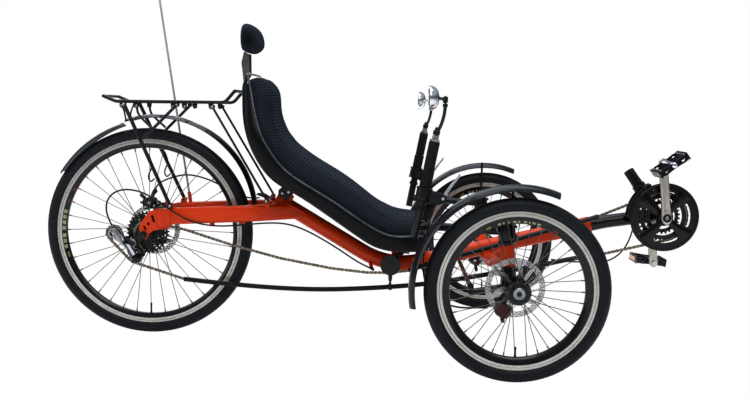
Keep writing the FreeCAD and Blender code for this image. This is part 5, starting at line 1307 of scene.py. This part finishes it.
def pad_grid(rows, cols):
    """The outline carried across Y, shrinking at the ends."""
    centred = [(x - PAD_CENTER[0], z - PAD_CENTER[1]) for x, z in PAD_OUTLINE]
    loop, _ = even_points(smooth_curve(centred, 14, True), cols, closed=True)
    slim = 3.0
    grid = np.zeros((rows, cols, 3))
    for i, part in enumerate(np.linspace(-1, 1, rows)):
        y = math.sin(part * PI / 2) * (112 - slim)
        size = max(0.10, (1 - min(1, abs(y) / (112.2 - slim)) ** 3.2)) ** 0.42
        grid[i, :, 0] = PAD_CENTER[0] + loop[:, 0] * size * (1 - slim / 36)
        grid[i, :, 1] = y
        grid[i, :, 2] = PAD_CENTER[1] + loop[:, 1] * size * (1 - slim / 48)
    return grid


def headrest():
    rows, cols = ((150, 132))
    coarse = pad_grid(40, 44)
    grid = pad_grid(rows, cols)
    pins = np.zeros(coarse.shape[:2])
    pins[:2] = pins[-2:] = 0.8
    moves = puff("headrest_trial", coarse, pins, pressure=2.2, frames=14, limit=3.0)
    grid = grid + upsample(moves, rows, np.linspace(0, 44, cols + 1)[:-1])
    normals = grid_normals(grid)
    steps = np.linalg.norm(np.roll(grid, -1, 1) - grid, axis=2)
    girth = np.cumsum(steps, 1) - steps
    y = grid[:, :, 1]
    phase = girth[rows // 2][None, :] / 8.6          # ribs 8.6 apart
    ribs = np.abs(np.cos(PI * phase)) ** 0.6
    cells = np.cos(2 * PI * y / 9.0 + PI * np.round(phase))
    fade = np.clip((108 - np.abs(y)) / 26.0, 0, 1)
    grid = grid + normals * ((1.4 * ribs + 0.30 * cells * ribs - 1.5) * fade)[:, :, None]
    # shade: painted shade in the grooves between ribs and painted highlight on the rib tops, an
    # even 0.3 towards the pad's ends; it goes to the fabric as the rib attribute
    shade = np.clip(ribs * (0.72 + 0.28 * cells), 0, 1) * fade + 0.3 * (1 - fade)
    uv = np.stack([girth * 0.001, y * 0.001], 2)
    fabric_piece("headrest_mesh", grid, uv, shade, "headrest_pad")


headrest()

# ------------------------------------------------------------------ grips and shifters
GRIP_LINE = np.array([0.1839, 0, 0.9829])
GRIP_LINE /= np.linalg.norm(GRIP_LINE)
BAR_Y = 370.0


def on_bar(z, hand):
    """Point of the upright bar's centre line at a height."""
    return np.array([822.0, -BAR_Y * hand, 432.0]) + GRIP_LINE * ((z - 432) / GRIP_LINE[2])


def bar_sleeve(name, bottom, top, radius_at, body, node, hand, sides, rings):
    """Sleeve on the bar; radius_at(distance, angle, length) gives its outer radius."""
    start = on_bar(bottom, hand)
    length = np.linalg.norm(on_bar(top, hand) - start)
    across, up, along = frame_along(GRIP_LINE)
    angles = full_turn(sides)
    bore = [11.3] * sides
    rows = [(0.0, bore)]
    rows += [(spot, [radius_at(spot, angle, length) for angle in angles])
             for spot in np.linspace(0, length, rings)]
    rows.append((length, bore))
    verts = [start + along * spot + (across * math.cos(a) + up * math.sin(a)) * radius
             for spot, radii in rows for a, radius in zip(angles, radii)]
    last = sides * (len(rows) - 1)
    faces = grid_faces(len(rows), sides, False, True)
    faces += [[last + i, last + (i + 1) % sides, (i + 1) % sides, i] for i in range(sides)]
    piece(name, oriented(verts, faces), GRIP, body, "grip_rubber", node, sharp=42)


def grip_radius(spot, angle, length):
    """Rings of small pads."""
    radius = 14.6 - 1.4 * max(0, 1 - min(spot, length - spot) / 2.2) ** 2
    if 5 < spot < length - 5:
        radius -= (0.55 * max(0.0, math.cos(2 * PI * spot / 5.2)) ** 2
                   * (0.6 + 0.4 * math.cos(12 * angle)))
    return radius


def shifter_radius(spot, angle, length):
    """Lengthwise flutes."""
    radius = 16.0 - 1.3 * max(0, 1 - min(spot, length - spot) / 2.0) ** 2
    if 4 < spot < length - 4:
        radius -= 0.8 * (0.5 + 0.5 * math.cos(18 * angle)) ** 2
    return radius


def shifter_trim(side, hand, body):
    """Collars, side button and cable stop on the shifter housing; bolts on the perch."""
    middle = on_bar(489, hand)
    assembly("shifter_housing_trim_" + side, [
        lathe(middle + GRIP_LINE * 12.6, GRIP_LINE,
              [(0, 20.6), (0.6, 22.0), (4.6, 22.0), (5.4, 20.4)], 40),
        lathe(middle - GRIP_LINE * 18.4, GRIP_LINE,
              [(0, 17.6), (1.0, 21.8), (5.0, 21.8), (5.8, 20.4)], 40),
        lathe(middle + np.array([0, -19.5 * hand, 0]), (0, -hand, 0),
              [(0, 8.6), (3.2, 8.2), (4.2, 6.8)], 24),
        lathe(middle - GRIP_LINE * 42, GRIP_LINE,
              [(0, 12.2), (1.0, 14.4), (9.0, 14.4), (10.0, 12.4)], 32),
        lathe(middle - GRIP_LINE * 15 + np.array([12.0, 0, 0]), (0.6, 0, -0.8),
              [(0, 5.2), (12, 4.6), (13, 3.6), (24, 3.0)], 18)], MATTE, body, "black_metal")
    assembly("perch_bolts_" + side, [
        bolt((858, -358.8 * hand, 482), (0, hand, 0), 3.2, 2.4),
        bolt((884, -382.0 * hand, 478), (0, -hand, 0), 4.2, 2.0),
        bolt((884, -358.0 * hand, 478), (0, hand, 0), 4.2, 2.0)], ZINC, body, "lever_alloy")


# Lever blade from pivot to tip: x, z, depth of the section
LEVER_LINE = [(884, 474, 8.2), (889, 486, 7.4), (897, 500, 6.0), (907, 515, 5.2),
              (917, 528, 4.9), (924.5, 537.5, 4.7), (926.5, 543, 3.4)]
# Dished section: y, part of the depth
LEVER_SECTION = ((-4.4, 0.0), (-3.6, -0.75), (-1.2, -1.0), (1.2, -1.0), (3.6, -0.75),
                 (4.4, 0.0), (3.9, 0.7), (1.8, 0.55), (-1.8, 0.55), (-3.9, 0.7))


def brake_lever(side, hand, body):
    y = -BAR_Y * hand
    curve = smooth_curve(LEVER_LINE)
    line = np.stack([curve[:, 0], np.full(len(curve), y), curve[:, 1]], 1)
    along = np.gradient(line, axis=0)
    along /= np.linalg.norm(along, axis=1)[:, None]
    normals = np.cross(along, np.array([0, 1.0, 0]))
    verts = [line[i] + np.array([0, u, 0]) + normals[i] * v * curve[i, 2] * 0.72
             for i in range(len(line)) for u, v in LEVER_SECTION]
    assembly("lever_blade_" + side, [
        oriented(verts, loft_faces(len(line), len(LEVER_SECTION))),
        lathe((884, y - 4.6, 478), (0, 1, 0), [(0, 6.0), (0.6, 6.9), (8.6, 6.9), (9.2, 6.0)],
              24)], LEVER, body, "lever_alloy", replaces="brake_lever_" + side)
    assembly("lever_cable_" + side,
             [lathe((879.0, y, 487.0), (-0.88, 0, -0.20), [(0, 1.0), (3.6, 1.0)], 8)],
             SPOKE, body, "lever_alloy")


# ------------------------------------------------------------------ mirrors
# (x, part of the full oval), from the domed front of the shell to its rear rim
MIRROR_SHELL = [(864.0, 0.10), (863.4, 0.30), (861.5, 0.52), (858.2, 0.72), (853.6, 0.87),
                (848.0, 0.955), (842.4, 0.99), (839.6, 1.0), (838.3, 0.985), (838.0, 0.955),
                (838.4, 0.93), (839.6, 0.92)]
MIRROR_GLASS = [(839.2, 0.60), (839.0, 0.90), (839.5, 0.915)]


def oval_loft(rows, hand):
    """Stack of rounded-oblong loops facing along X."""
    def squared(value):
        return math.copysign(abs(value) ** 0.86, value)

    verts = [(x, -440.0 * hand + 54.0 * size * squared(math.cos(angle)),
              741.0 + 31.5 * size * squared(math.sin(angle)))
             for x, size in rows for angle in full_turn(72)]
    return oriented(verts, loft_faces(len(rows), 72, flip_caps=True))


def mirror(side, hand, bar_body, body):
    bar_end = on_bar(628.2, hand)
    assembly("bar_end_plug_" + side, [
        lathe(bar_end + GRIP_LINE * 0.2, GRIP_LINE,
              [(0, 12.6), (1.0, 13.2), (4.4, 13.2), (5.2, 11.8), (5.3, 9.0), (16.5, 8.6),
               (17.4, 7.4)], 36)], GREY_ALLOY, bar_body, "edge_silver")
    assembly("mirror_nut_" + side, [
        lathe(bar_end + GRIP_LINE * 18.2, GRIP_LINE,
              [(0, 9.4), (0.8, 10.2), (11.0, 10.2), (12.0, 9.2)], 6),
        lathe(bar_end + GRIP_LINE * 30.5, GRIP_LINE, [(0, 6.8), (7, 6.0), (8, 5.0)], 20)],
        BLACK_METAL, bar_body, "black_metal")
    piece("mirror_shell_" + side, oval_loft(MIRROR_SHELL, hand), CHROME, body, "mirror_case",
          "mirror_head_" + side, sharp=55)
    piece("mirror_glass_" + side, oval_loft(MIRROR_GLASS, hand), GLASS, body, "mirror_case",
          sharp=40)
    stem = [(882, -389.0 * hand, 738), (876, -403.0 * hand, 739.5),
            (866.5, -421.0 * hand, 741), (860.5, -432.0 * hand, 741)]
    assembly("mirror_link_" + side, [
        lathe((883, -388.0 * hand, 730.2), (0, 0, 1),
              [(0, 5.8), (0.8, 6.8), (14.8, 6.8), (15.6, 5.8)], 28),
        tube(smooth_curve(stem), 4.0, 14),
        lathe((861.5, -430.0 * hand, 741), (-0.5, -0.86 * hand, 0),
              [(0, 5.0), (1.5, 7.5), (5, 8.5), (8, 8.0)], 24)],
        CHROME if side == "left" else BLACK_METAL, body, "mirror_case")


for side, hand in SIDES:
    steering = "steering_" + side
    bar_sleeve("grip_skin_" + side, 552.3, 627.8, grip_radius, steering, "grip_" + side,
               hand, sides=64, rings=90)
    bar_sleeve("shifter_skin_" + side, 507.8, 551.3, shifter_radius, "twist_" + side,
               "shifter_" + side, hand, sides=108, rings=40)
    shifter_trim(side, hand, steering)
    brake_lever(side, hand, "lever_" + side)
    mirror(side, hand, steering, "mirror_" + side)


# ------------------------------------------------------------------ rear mech
def mech_cage(name, y0, y1, material, replaces=""):
    """Cage plate: a ring round each small wheel, joined by a waisted web with a slot."""
    guide_end, tension_end, waist = 15.5, 16.5, 10.5
    length = float(np.linalg.norm(TENSION - GUIDE))
    along = (TENSION - GUIDE) / length
    across = np.array([-along[1], along[0]])
    half = []
    for k in range(72):
        spot = -guide_end + (length + guide_end + tension_end) * (0.5 - 0.5 * math.cos(PI * k / 71))
        part = min(1.0, max(0.0, spot / length))
        if spot < 0:
            width = math.sqrt(max(0.0, guide_end ** 2 - spot ** 2))
        elif spot > length:
            width = math.sqrt(max(0.0, tension_end ** 2 - (spot - length) ** 2))
        else:
            width = (waist + (guide_end - waist) * max(0, 1 - part / 0.3) ** 1.5
                     + (tension_end - waist) * max(0, 1 - (1 - part) / 0.3) ** 1.5)
        half.append((spot, width))
    outline = [tuple(GUIDE + along * a + across * b) for a, b in half]
    outline += [tuple(GUIDE + along * a - across * b) for a, b in half[::-1] if b > 0.05]
    holes = []
    for center in (GUIDE, TENSION):
        for k in range(3):
            start = math.degrees(2 * PI * k / 3 + 0.5)
            holes.append(sector(center, 5.6, 11.6, start + 12, start + 108, 8, 1.6))
    slot = []
    for reach, start in ((30, PI / 2), (length - 30, -PI / 2)):
        center = GUIDE + along * reach
        slot += [tuple(center + along * (6 * math.cos(a)) + across * 5.2 * math.sin(a))
                 for a in np.linspace(start, start + PI, 9)]
    holes.append(slot)
    piece(name, plate(outline, holes, y0, y1), material, "frame", "rotor_steel", replaces,
          bevel=(0.35, 2), sharp=30)


def rear_mech():
    mech_cage("mech_cage_outer", -53.6, -52.0, MECH_GREY, "rear_derailleur")
    mech_cage("mech_cage_inner", -40.0, -38.6, DARK_STEEL)
    axles = []
    for x, z in (GUIDE, TENSION):
        axles += [lathe((x, -53.4, z), (0, 1, 0), [(0, 2.85), (14.6, 2.85)], 16),
                  bolt((x, -53.6, z), (0, -1, 0), 4.4, 2.2)]
    assembly("mech_axles", axles, ZINC, "frame", "chain_steel")
    upper = [(-58, 312), (-50, 314), (-38, 304), (-34, 296), (-42, 290), (-54, 296)]
    assembly("mech_links", [
        plate(smooth_curve(upper, 5, True), [], -86, -70),
        plate([(-62, 296), (-54, 302), (-18, 256), (-27, 249)], [], -76, -72),
        plate([(-62, 300), (-48, 304), (-14, 254), (-28, 245)], [], -84, -79)],
        BLACK_METAL, "frame", "black_metal", bevel=(1.2, 3))
    assembly("mech_lower_knuckle", [
        lathe((-20, -90.5, 247), (0, 1, 0),
              [(0, 9.0), (1.4, 12.6), (6.0, 14.6), (30.0, 14.6), (35.0, 12.0)], 40),
        lathe((-33, -87.0, 242), (0.7, 0, -0.7), [(0, 4.4), (9, 4.4)], 14)],
        BLACK_GLOSS, "frame", "black_metal")
    bright = [(-57.5, 302.5), (-49.5, 304.0), (-21.5, 259.0), (-29.5, 254.0)]
    assembly("mech_bright_link", [plate(bright, [], -86.0, -84.0)], MECH_BRIGHT, "frame",
             "rotor_steel", bevel=(0.9, 3))
    lean = (-0.5, 0, 0.866)
    barrel = [lathe((-64, -84, 294), lean,
                    [(0, 5.4), (1.0, 6.4), (24, 6.4), (25, 5.6), (27, 5.6), (28, 6.6),
                     (47, 6.2), (48.5, 4.8)], 28)]
    for k in range(10):
        spot = 30 + k * 1.7
        barrel.append(lathe((-64 - 0.5 * spot, -84, 294 + 0.866 * spot), lean,
                            [(0, 6.2), (0.4, 6.9), (0.9, 6.2)], 28))
    assembly("mech_barrel", barrel, MECH_GREY, "frame", "rotor_steel")
    hook = [(-52, 306), (-38, 309), (-26, 304), (-22, 294), (-28, 284), (-38, 284),
            (-44, 290), (-50, 296)]
    hook_hole = circle((-33.5, 294.5), 5.4)
    assembly("mech_hook", [plate(smooth_curve(hook, 6, True), [hook_hole], -81.5, -77.5)],
             MECH_GREY, "frame", "rotor_steel", bevel=(0.8, 2))
    hanger = [(-10.5, 331), (-2, 306), (-20, 283.6), (-33, 281.6), (-39.4, 292),
              (-29.6, 305)]
    assembly("mech_hanger", [
        plate(hanger, [], -73.2, -67.8),
        lathe((-31, -92, 292), (0, 1, 0), [(0, 5.0), (1, 6.4), (24.0, 6.4)], 20),
        lathe((0, -88.4, 320), (0, 1, 0), [(0, 4.6), (0.8, 7.6), (5.4, 8.6)], 6)],
        BLACK_METAL, "frame", "black_metal", bevel=(0.5, 2))


rear_mech()


# ------------------------------------------------------------------ disc callipers
def calliper(tag, body, slot, replaces, center, turn, y, way, material, thick, arm_scale,
             bridge_low):
    """Split body over the disc at y, arm with cable anchor, mounting bolts.

    The arm lies on the side of the disc that way (+1 or -1 along Y) points to.
    """
    def spot(x, z):
        return turned_point(center, x, z, math.radians(turn))

    def at(x, out, z):
        px, pz = spot(x, z)
        return px, y + way * out, pz

    def slab(points, near, far, steps=0, holes=()):
        outline = [spot(*point) for point in points]
        if steps:
            outline = smooth_curve(outline, steps, True)
        return plate(outline, holes, *sorted((y + way * near, y + way * far)))

    out = (0, way, 0)
    k = arm_scale
    half = [(-20, -15), (-12, -19), (12, -19), (20, -12), (22, 4), (16, 14), (4, 17),
            (-10, 16), (-20, 9)]
    bridge = [(-16, bridge_low), (16, bridge_low), (14, 15), (-12, 15)]
    assembly(tag + "_body", [slab(half, -13.0, -2.4, 3), slab(half, 2.4, thick, 3),
                             slab(bridge, -8, 10)],
             material, body, slot, replaces=replaces, bevel=(1.3, 3))
    arm = [(-6, -6), (6, -9), (12, -2), (9, 6), (-2, 14), (-14, 30), (-20, 33), (-25, 28),
           (-20, 20), (-10, 6)]
    lug = [(24, 6), (14, -4), (20, -16), (34, -10), (36, 0)]
    assembly(tag + "_arm", [
        lathe(at(2, thick - 1.0, 0), out, [(0, 12.5), (3.0 * k, 12.5), (4.0 * k, 10.5),
                                           (8.0 * k, 10.0), (9.0 * k, 8.0)], 32),
        slab(arm, thick + 3 * k, thick + 7 * k, 4, [circle(spot(-18.5, 27), 2.2, 12)]),
        slab(lug, 3.6, 12),
        lathe(at(-18.5, thick + 2 * k, 27), out, [(0, 4.6), (8 * k, 4.6), (9 * k, 3.6)], 6)],
        BLACK_METAL, body, slot, bevel=(0.5, 2))
    assembly(tag + "_bolts", [
        bolt(at(2, thick + 8.6 * k, 0), out, 5.2, 2.6 * k),
        bolt(at(-14, thick - 0.4, -12), out, 3.6, 3.2 * k),
        bolt(at(14, thick - 0.4, -12), out, 3.6, 3.2 * k),
        bolt(at(29, 11.8, -4), out, 4.2, 3.0 * k)], ZINC, body, slot)


def rear_brake_bracket():
    inner = [(-42, 404), (-34, 399), (-27, 403), (-26, 412), (-33, 411), (-37, 407),
             (-42, 409)]
    middle = [(-14, 418), (-4, 414), (-2, 426), (8, 438), (4, 447), (-6, 444), (-12, 430)]
    outer = [(-28, 400), (24, 403), (32, 396), (8, 385), (-10, 382), (-23, 387)]
    assembly("rear_brake_bracket", [
        plate(inner, [], 36, 41),
        plate(middle, [circle((-1, 438), 2.4, 12)], 54, 59),
        lathe((-2, 62.5, 438), (0, -1, 0), [(0, 5.0), (12, 5.0)], 6),
        plate(outer, [circle((16, 396), 2.4, 12)], 61, 66.6)],
        BLACK_METAL, "frame", "black_metal", bevel=(0.6, 2))


calliper("rear_brake", "frame", "black_metal", "rear_caliper", (-14.0, 404.0), turn=9,
         y=49.2, way=-1, material=BLACK_METAL, thick=12.0, arm_scale=0.4, bridge_low=6)
rear_brake_bracket()
for side, hand in SIDES:
    calliper("front_brake_" + side, "steering_" + side, "calliper_metal",
             "front_caliper_" + side, polar(FRONT, DISC_RADIUS - 10, math.radians(-117)),
             turn=153, y=-384.0 * hand, way=hand, material=CALLIPER, thick=15.0,
             arm_scale=1.0, bridge_low=11.5)


# ------------------------------------------------------------------ frame details
def weld_bead(name, points):
    """Weld bead: overlapping ripples along a line."""
    radius = 1.9
    count = max(8, int(arc_lengths(points)[-1] / 2.0))
    line, _ = even_points(points, count)
    shapes = [tube(line, radius * 0.78, 8)]
    for i in range(0, count, 2):
        along = line[min(i + 1, count - 1)] - line[max(i - 1, 0)]
        start = line[i] - along / max(1e-6, np.linalg.norm(along)) * 0.9
        shapes.append(lathe(start, along, [(0, radius * 0.7), (0.5, radius), (1.3, radius),
                                           (1.8, radius * 0.7)], 9))
    assembly(name, shapes, PAINT, "frame", "frame_paint")


# Oval round the stay: y, distance up the stay's leaning section
STAY_LOOP = ((-14, -14), (-14, 14), (-9, 22.6), (0, 25.0), (9, 22.6), (14, 14), (14, -14),
             (9, -22.6), (0, -25.0), (-9, -22.6), (-14, -14))
# Where the stay meets the big tube: x, offset from the centre plane, z
TUBE_LINE = ((429, 47.0, 421), (450, 37.0, 409), (468, 28.0, 398), (483, 20.5, 389.5),
             (476, 24.2, 379), (477, 23.8, 371))
# x, offset from the centre plane, z, head radius, head height
FRAME_BOLTS = ((414, 25.3, 449, 4.6, 3.2), (433, 25.3, 453, 4.6, 3.2),
               (373, 83.8, 430, 4.0, 2.6), (86, 98.6, 411, 4.2, 2.8),
               (211, 78.8, 708.5, 3.6, 2.4), (107, 90.8, 712, 3.6, 2.4),
               (-52, 86.4, 712, 3.6, 2.4))
for side, hand in SIDES:
    middle = np.array([86.0, -80.0 * hand, 378.6])
    up = np.array([0.055, 0, 0.9985])
    loop = [middle + np.array([0, y * 1.03, 0]) + up * z * 1.02 for y, z in STAY_LOOP]
    weld_bead("stay_weld_" + side, smooth_curve(loop, 4))
    weld_bead("tube_weld_" + side,
              smooth_curve([(x, -y * hand, z) for x, y, z in TUBE_LINE], 6))
    assembly("bolts_" + side, [bolt((x, -y * hand, z), (0, -hand, 0), radius, height)
                               for x, y, z, radius, height in FRAME_BOLTS],
             ZINC, "frame", "chain_steel")
# cable stop under the big tube, and the ferrule where the housing ends
assembly("cable_stop", [lathe((684.0, -11.0, 243.0), (0.29, -0.55, -0.78),
                              [(0, 5.5), (27.0, 5.5), (28.0, 4.6)], 18)],
         PAINT, "frame", "frame_paint")
assembly("cable_ferrule", [lathe((699.0, -28.4, 216.5), (-0.84, 0.02, 0.54),
                                 [(0, 3.2), (0.8, 4.2), (15.0, 4.2), (16.0, 3.4)], 18)],
         BLACK_METAL, "frame", "black_metal")
# silver trim strip round the top edge of the seat shell, right half then mirrored; drawn much
# brighter than the side trim as a painted highlight
TOP_EDGE = [(325.0, -128.2, 797), (324.5, -121, 803), (323.0, -104, 806.0),
            (322.0, -60, 807.0)]
top_strip = TOP_EDGE + [(322.0, 0, 807.2)] + [(x, -y, z) for x, y, z in TOP_EDGE[::-1]]
piece("seat_top_trim_highlight", tube(smooth_curve(top_strip), 3.2), MECH_BRIGHT, "frame",
      "edge_silver")


def rack_side(side, hand):
    """Hangers and bolts under the carrier's deck, a strut and a bent wire hook."""
    spots = (-62, -18, 92, 126, 205)
    hangers = []
    for x in spots:
        outline = [(x - 8, 722), (x + 8, 722), (x + 6, 704), (x - 1, 700), (x - 7, 705)]
        hangers.append(plate(outline, [circle((x, 708), 2.2, 10)],
                             *sorted((-70.0 * hand, -66.5 * hand))))
    assembly("rack_hangers_" + side, hangers, BLACK_METAL, "frame", "black_metal",
             bevel=(0.5, 2))
    assembly("rack_hanger_bolts_" + side,
             [bolt((x, -70.2 * hand, 708), (0, -hand, 0), 3.4, 2.6) for x in spots],
             ZINC, "frame", "chain_steel")
    strut = [(-18, 68, 706), (-10, 70, 680), (30, 76, 640)]
    hook = [(18, 86, 566), (24, 90, 560), (32, 92, 530), (22, 92, 500), (28, 92, 484),
            (40, 92, 492)]
    for name, points, radius in (("strut", strut, 3.4), ("hook", hook, 2.2)):
        path = smooth_curve([(x, -y * hand, z) for x, y, z in points])
        piece("rack_%s_%s" % (name, side), tube(path, radius), BLACK_METAL, "frame",
              "black_metal")


for side, hand in SIDES:
    rack_side(side, hand)

# ------------------------------------------------------------------ CAD pieces that stay
# name, finish, bevel width (0 for none)
CAD_FINISHES = [
    ("rear_spokes", SPOKE, 0), ("rear_hub", BLACK_GLOSS, 0.4), ("main_frame", PAINT, 0.6),
    ("front_boom", BLACK_GLOSS, 0.6), ("front_derailleur", DARK_STEEL, 0.5),
    ("seat_shell", SHELL, 0), ("seat_trim", EDGE, 0), ("seat_brackets", BLACK_METAL, 0.6),
    ("headrest_bracket", BRACKET, 0.6), ("rear_rack", BLACK_METAL, 0),
    ("rear_fender", GUARD_PAINT, 0), ("flag_pole", POLE, 0), ("flag_pennant", PENNANT, 0),
    ("rear_axle", BLACK_METAL, 0.5), ("chain_tubes", PLASTIC, 0),
    ("frame_fittings", BLACK_METAL, 0.5), ("cables", CABLE, 0),
    ("tie_rod", BLACK_METAL, 0.5)]
for side, _ in SIDES:
    CAD_FINISHES += [
        ("front_spokes_" + side, SPOKE, 0), ("front_hub_" + side, BLACK_GLOSS, 0.4),
        ("handlebar_" + side, BLACK_METAL, 0.5), ("front_fender_" + side, GUARD_PAINT, 0),
        ("steering_knuckle_" + side, BLACK_METAL, 0.6)]
for name, material, width in CAD_FINISHES:
    ob = nodes[name]
    ob.data.materials.clear()
    ob.data.materials.append(material)
    if width:
        ob.modifiers.new("weld", "WELD").merge_threshold = 1e-5
        add_bevel(ob, width, 2, angle=42, harden=True)


# ------------------------------------------------------------------ floor
def add_floor():
    """Pale floor just under the wheels; it shows pure white to the camera."""
    half, gap = 40.0, 0.0005       # metres
    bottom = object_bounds()[0][2]
    mesh = bpy.data.meshes.new("floor")
    mesh.from_pydata([(-half, -half, 0), (half, -half, 0), (half, half, 0),
                      (-half, half, 0)], [], [(0, 1, 2, 3)])
    floor = link(bpy.data.objects.new("floor", mesh))
    floor.location.z = bottom - gap
    material = finish("floor_pale", (0.90, 0.90, 0.90), (0.93, 0.93, 0.93), rough=0.9,
                      scale=2, grain=60, bump=0.01)
    tree = material.node_tree
    by_type = {node.type: node for node in tree.nodes}
    glow = add_node(tree, "Emission", {"Strength": 1.0})
    seen = add_node(tree, "LightPath").outputs["Is Camera Ray"]
    blend = add_node(tree, "MixShader", {0: seen, 1: by_type["BSDF_PRINCIPLED"].outputs[0],
                                         2: glow.outputs[0]})
    feed(tree, by_type["OUTPUT_MATERIAL"], {0: blend.outputs[0]})
    mesh.materials.append(material)


# ------------------------------------------------------------------ world, lights, camera
def add_world():
    """White to the camera; a soft studio gradient, dark at the horizon, to everything else."""
    world = bpy.data.worlds.new("studio")
    bpy.context.scene.world = world
    tree, output = new_tree(world, "OutputWorld")
    backdrop = add_node(tree, "Background", {"Color": (1, 1, 1, 1), "Strength": 1.0})
    studio = add_node(tree, "Background", {"Strength": 0.50})
    place = add_node(tree, "TexCoord").outputs["Generated"]
    split = add_node(tree, "SeparateXYZ", {0: place})
    height = add_node(tree, "MapRange", {"Value": split.outputs[2], "From Min": -1.0,
                                         "From Max": 1.0}).outputs[0]
    # from straight down (0) to straight up (1)
    feed(tree, studio, {"Color": ramp(tree, height, [
        (0.0, (0.55, 0.55, 0.55)), (0.46, (0.34, 0.33, 0.32)), (0.52, (0.20, 0.20, 0.20)),
        (0.60, (0.42, 0.44, 0.47)), (0.72, (0.78, 0.86, 0.97)), (1.0, (0.88, 0.95, 1.06))])})
    seen = add_node(tree, "LightPath").outputs["Is Camera Ray"]
    blend = add_node(tree, "MixShader", {0: seen, 1: studio.outputs[0],
                                         2: backdrop.outputs[0]})
    feed(tree, output, {0: blend.outputs[0]})


def area_light(name, at, aim_z, size, power, color, size_y=None):
    """Area light aimed at a point above the origin; metres and watts."""
    light = bpy.data.lights.new(name, "AREA")
    light.energy = power
    light.color = color
    light.size = size
    if size_y:
        light.shape = "RECTANGLE"
        light.size_y = size_y
    ob = link(bpy.data.objects.new(name, light))
    ob.location = at
    ob.rotation_mode = "QUATERNION"
    aim = Vector((0.0, 0.0, aim_z)) - Vector(at)
    ob.rotation_quaternion = aim.to_track_quat("-Z", "Y")


def add_camera():
    """Camera on the right of the tricycle, looking towards its left."""
    yaw, pitch, roll = 0.0177, -0.1085, 0.0172       # radians
    data = bpy.data.cameras.new("camera")
    camera = link(bpy.data.objects.new("camera", data))
    forward = Vector((-math.sin(yaw) * math.cos(pitch), math.cos(yaw) * math.cos(pitch),
                      math.sin(pitch)))
    level = Vector((math.cos(yaw), math.sin(yaw), 0))
    upright = level.cross(forward)
    right = level * math.cos(roll) + upright * math.sin(roll)
    up = upright * math.cos(roll) - level * math.sin(roll)
    pose = Matrix.Identity(4)
    for column, axis in enumerate((right, up, -forward, (0.0687, -2.6369, 0.7178))):
        for row in range(3):
            pose[row][column] = axis[row]
    camera.matrix_world = pose
    data.sensor_width = 36.0
    data.lens = 41.2464
    data.clip_start = 0.05
    data.clip_end = 60
    bpy.context.scene.camera = camera


add_floor()
add_world()
area_light("key", at=(0.9, -3.0, 3.6), aim_z=0.4, size=2.6, power=78, color=(1.0, 0.99, 0.97))
area_light("top", at=(-0.4, 0.6, 4.2), aim_z=0.4, size=4.0, power=120, color=(0.90, 0.95, 1.0))
area_light("back", at=(-1.6, 3.2, 2.4), aim_z=0.5, size=2.6, power=40, color=(0.93, 0.96, 1.0))
area_light("strip", at=(-3.2, -1.4, 1.6), aim_z=0.5, size=1.0, size_y=2.4, power=18,
           color=(1, 1, 1))
add_camera()
view = bpy.context.scene.view_settings
view.view_transform = "Standard"
view.look = "None"
view.gamma = 0.82

# ------------------------------------------------------------------ final update
bpy.context.view_layer.update()
